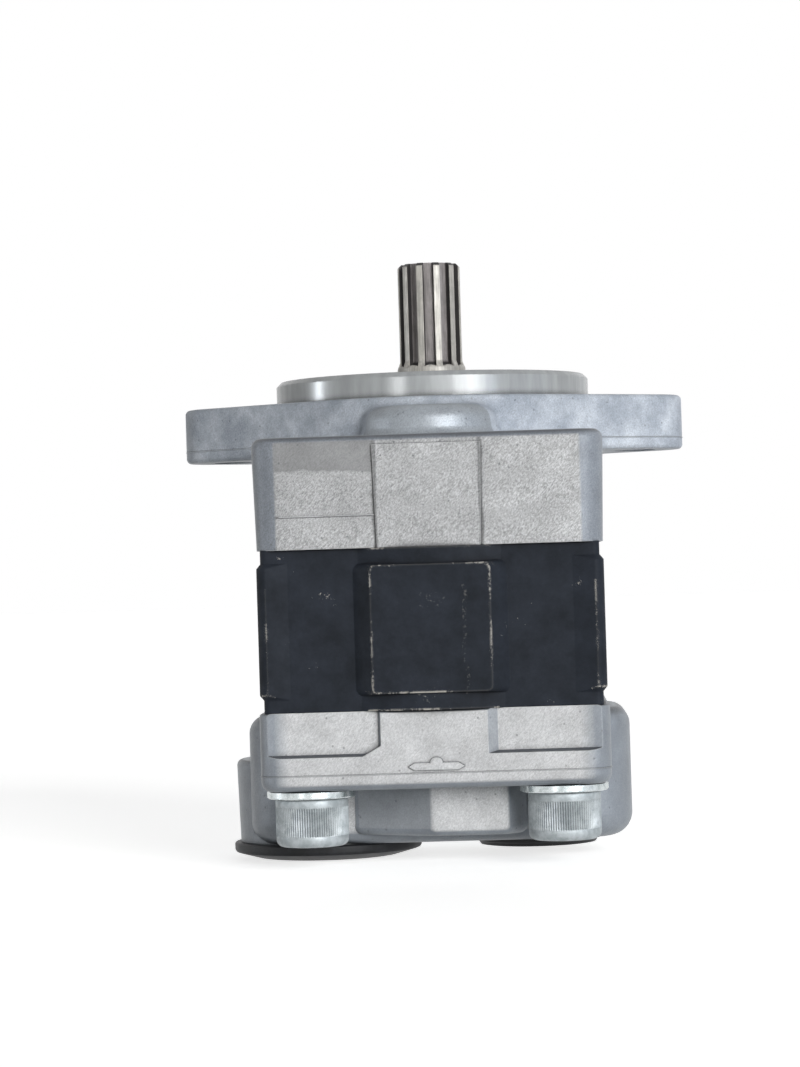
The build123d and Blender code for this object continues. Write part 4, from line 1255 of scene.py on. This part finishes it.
@dataclass
class CastMarks:
    """Fine raised marks that the moulds left: parting lines, a level bead, a relief bar."""

    flange_spacing: float = 106.4
    ear_radius: float = 12.6
    centre_radius: float = 44.6
    flange_line_z: float = -11.2
    block_width: float = 86.0
    block_length: float = 111.0
    block_corner: float = 6.0
    block_line_z: float = -93.5
    middle_y: float = -19.05
    line_width: float = 0.5
    line_proud: float = 0.14
    line_sunk: float = 0.15
    front_length: float = 110.0
    draft: float = 1.5
    zone_z: float = -30.2
    zone_start: float = -36.4
    zone_end: float = -13.0
    bar_half: float = 7.0
    bar_point: float = 1.6
    bar_height: float = 1.9
    bar_bump: float = 1.6
    bar_proud: float = 0.5
    bar_sunk: float = 0.3
    bar_bevel: float = 0.16
    bar_x: float = 0.3
    bar_z: float = -91.9

    def build(self, cast: bpy.types.Material) -> None:
        """Builds both parting lines, the bar and the level bead.

        Args:
            cast: Finish of the castings.
        """
        for name, mesh in (
            ("flange_parting_line", self.bead_mesh(self.flange_outline(), self.flange_line_z)),
            ("rear_parting_line", self.bead_mesh(self.block_outline(), self.block_line_z)),
            ("rear_relief_bar", self.bar_mesh()),
            ("front_zone_line", self.zone_mesh()),
        ):
            make_piece(name, mesh, cast, Body.PUMP)

    def flange_outline(self) -> Outline:
        """Lists points of the flange's outline with their outward normals, in millimetres."""
        half = self.flange_spacing / 2
        lean = math.acos((self.centre_radius - self.ear_radius) / half)
        outline = []
        for centre, radius, start, end in (
            (half, self.ear_radius, -lean, lean),
            (0.0, self.centre_radius, lean, math.pi - lean),
            (-half, self.ear_radius, math.pi - lean, math.pi + lean),
            (0.0, self.centre_radius, math.pi + lean, 2 * math.pi - lean),
        ):
            for step in range(25):
                angle = start + (end - start) * step / 24
                x, y = math.cos(angle), math.sin(angle)
                outline.append((centre + radius * x, radius * y, x, y))
        return outline

    def block_outline(self) -> Outline:
        """Lists points of the rear block's outline with their outward normals."""
        corner = self.block_corner
        reach_x, reach_y = self.block_width / 2 - corner, self.block_length / 2 - corner
        outline = []
        for quarter, (sx, sy) in enumerate(((1, 1), (-1, 1), (-1, -1), (1, -1))):
            for step in range(11):
                angle = math.pi / 2 * (quarter + step / 10)
                x, y = math.cos(angle), math.sin(angle)
                middle_y = self.middle_y + sy * reach_y
                outline.append((sx * reach_x + corner * x, middle_y + corner * y, x, y))
        return outline

    def bead_mesh(self, outline: Outline, height: float) -> bmesh.types.BMesh:
        """Builds a fine closed bead along an outline.

        Args:
            outline: Points with outward normals.
            height: Height of the bead's middle.

        Returns:
            The closed mesh, half sunk in the casting.
        """
        mesh = bmesh.new()
        half, proud, sunk = self.line_width / 2, self.line_proud, -self.line_sunk
        section = ((sunk, half), (proud, half * 0.3), (proud, -half * 0.3), (sunk, -half))
        rows = [
            [add_point(mesh, x + nx * out, y + ny * out, height + up) for out, up in section]
            for x, y, nx, ny in outline
        ]
        for i, row in enumerate(rows):
            bridge(mesh, row, rows[(i + 1) % len(rows)])
        finish_mesh(mesh, 50.0)
        return mesh

    def zone_mesh(self) -> bmesh.types.BMesh:
        """Builds the short level bead on the front cover's near face, left of its panel."""
        front_low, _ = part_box("front_cover")
        rise = self.zone_z - front_low.z / MM
        lean = rise * math.tan(math.radians(self.draft))
        face_y = self.middle_y - self.front_length / 2 - lean
        mesh = bmesh.new()
        half = self.line_width / 2
        section = ((0.2, half), (-0.1, half * 0.4), (-0.1, -half * 0.4), (0.2, -half))
        rows = [
            [add_point(mesh, x, face_y + out, self.zone_z + up) for out, up in section]
            for x in (self.zone_start, self.zone_end)
        ]
        bridge(mesh, *rows)
        for row in rows:
            mesh.faces.new(row)
        return mesh

    def bar_mesh(self) -> bmesh.types.BMesh:
        """Builds the relief bar: pointed ends and a half-round bump, with bevelled edges."""
        mesh = bmesh.new()
        end, half = self.bar_half, self.bar_height / 2
        neck, bump = end - self.bar_point, self.bar_bump
        outline = [(-end, 0.0), (-neck, -half), (neck, -half), (end, 0.0)]
        outline += [(neck, half), (bump, half)]
        for step in range(1, 12):
            angle = math.pi * step / 12
            outline.append((bump * math.cos(angle), half + bump * math.sin(angle) * 0.85))
        outline += [(-bump, half), (-neck, half)]
        sunk_y = self.middle_y - self.block_length / 2 + self.bar_sunk
        face = mesh.faces.new(
            [add_point(mesh, self.bar_x + x, sunk_y, self.bar_z + z) for x, z in outline]
        )
        raised = bmesh.ops.extrude_face_region(mesh, geom=[face])
        lifted = [v for v in raised["geom"] if isinstance(v, bmesh.types.BMVert)]
        rise = (0.0, -(self.bar_proud + self.bar_sunk) * MM, 0.0)
        bmesh.ops.translate(mesh, verts=lifted, vec=rise)
        top = [e for e in mesh.edges if all(v in lifted for v in e.verts)]
        bevel = self.bar_bevel * MM
        bmesh.ops.bevel(
            mesh, geom=top, offset=bevel, segments=2, affect="EDGES", profile=0.5
        )
        finish_mesh(mesh, 35.0)
        return mesh


@dataclass
class Castings:
    """Finishes of the CAD nodes, which keep their own shape."""

    def build(self) -> dict[str, bpy.types.Material]:
        """Gives every CAD node its finish.

        Returns:
            The finishes that built pieces share, by a short name.
        """
        front = CastAluminium(
            "cast_aluminium_front",
            machined_above_mm=0.0,
            stain_left_of_mm=-13.4,
            seam_mm=12.9,
            step_z_mm=-30.35,
            # a painted light slope lightens the front cover's right side
            painted_light_slope=2.5,
        ).build()
        rear = CastAluminium(
            "cast_aluminium_rear",
            flat="#D4D5D6",
            # darker, bluer rounded corners and sides, partly painted shade and painted
            # reflection
            smooth="#8F959C",
            speck_depth=0.5,
            flat_blur_mm=2.0,
            machined_below_mm=-113.1,
        ).build()
        zinc = ZincPlate("zinc_plated_steel").build()
        washer = ZincPlate(
            "bright_zinc_plated_washer",
            plate="#D2D8D9",
            stain="#AEB7B8",
            metallic=0.85,
            roughness=0.24,
        ).build()
        plastic = Polyethylene("black_polyethylene").build()
        bronze = InnerMetal("bearing_bronze").build()
        spring = InnerMetal(
            "phosphated_spring_steel", light="#5A5B5C", dark="#3C3D3E", roughness=0.45
        ).build()
        rubber = Polyethylene("nitrile_rubber", body="#141414", scuff="#262626").build()
        driven = ShaftSteel("hardened_driven_steel", axis_y_mm=-38.1).build()
        nodes = {
            "front_cover": front,
            "rear_cover": rear,
            "gear_housing": BlackCoating("black_baked_coating").build(),
            "drive_gear_shaft": ShaftSteel("hardened_shaft_steel").build(),
            "driven_gear_shaft": driven,
            "shaft_seal_case": spring,
            "shaft_seal_spring": spring,
            "seal_snap_ring": spring,
            "shaft_seal_lip": rubber,
            "suction_port_cap": plastic,
            "pressure_port_cap": plastic,
        }
        for end in ("front", "rear"):
            for part in ("side_plate", "drive_bush", "driven_bush"):
                nodes[f"{end}_{part}"] = bronze
            for part in ("plate_seal", "housing_seal"):
                nodes[f"{end}_{part}"] = rubber
        for number in range(1, 5):
            nodes[f"cover_bolt_{number}"] = zinc
            nodes[f"cover_washer_{number}"] = washer
            nodes[f"dowel_pin_{number}"] = driven
        for name, material in nodes.items():
            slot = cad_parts[name].material_slots[0]
            slot.link = "OBJECT"
            slot.material = material
        return {"rear": rear, "zinc": zinc, "plastic": plastic}


def main() -> None:
    """Builds the studio and the pump's pieces in order."""
    logging.basicConfig(level=logging.INFO, format="%(name)s %(message)s")
    Studio().build()
    finishes = Castings().build()
    CoverScrews().build(finishes["zinc"])
    suction, pressure = (-30.0, -19.05), (24.5, -19.05)
    PortCap(
        name="suction_plastic_cap",
        node="suction_port_cap",
        body=Body.SUCTION_CAP,
        place=suction,
        rim_radius=24.25,
        rim_thickness=2.6,
        flat_radius=18.0,
        height=4.2,
        spigot_radius=17.4,
    ).build(finishes["plastic"])
    PortCap(
        name="pressure_plastic_cap",
        node="pressure_port_cap",
        body=Body.PRESSURE_CAP,
        place=pressure,
        rim_radius=16.4,
        rim_thickness=1.4,
        flat_radius=14.6,
        height=2.4,
        spigot_radius=14.2,
    ).build(finishes["plastic"])
    PortThread("suction_port_thread", suction, bore_radius=15.55).build(finishes["rear"])
    PortThread("pressure_port_thread", pressure, bore_radius=12.5).build(finishes["rear"])
    CastMarks().build(finishes["rear"])


if __name__ == "__main__":
    main()
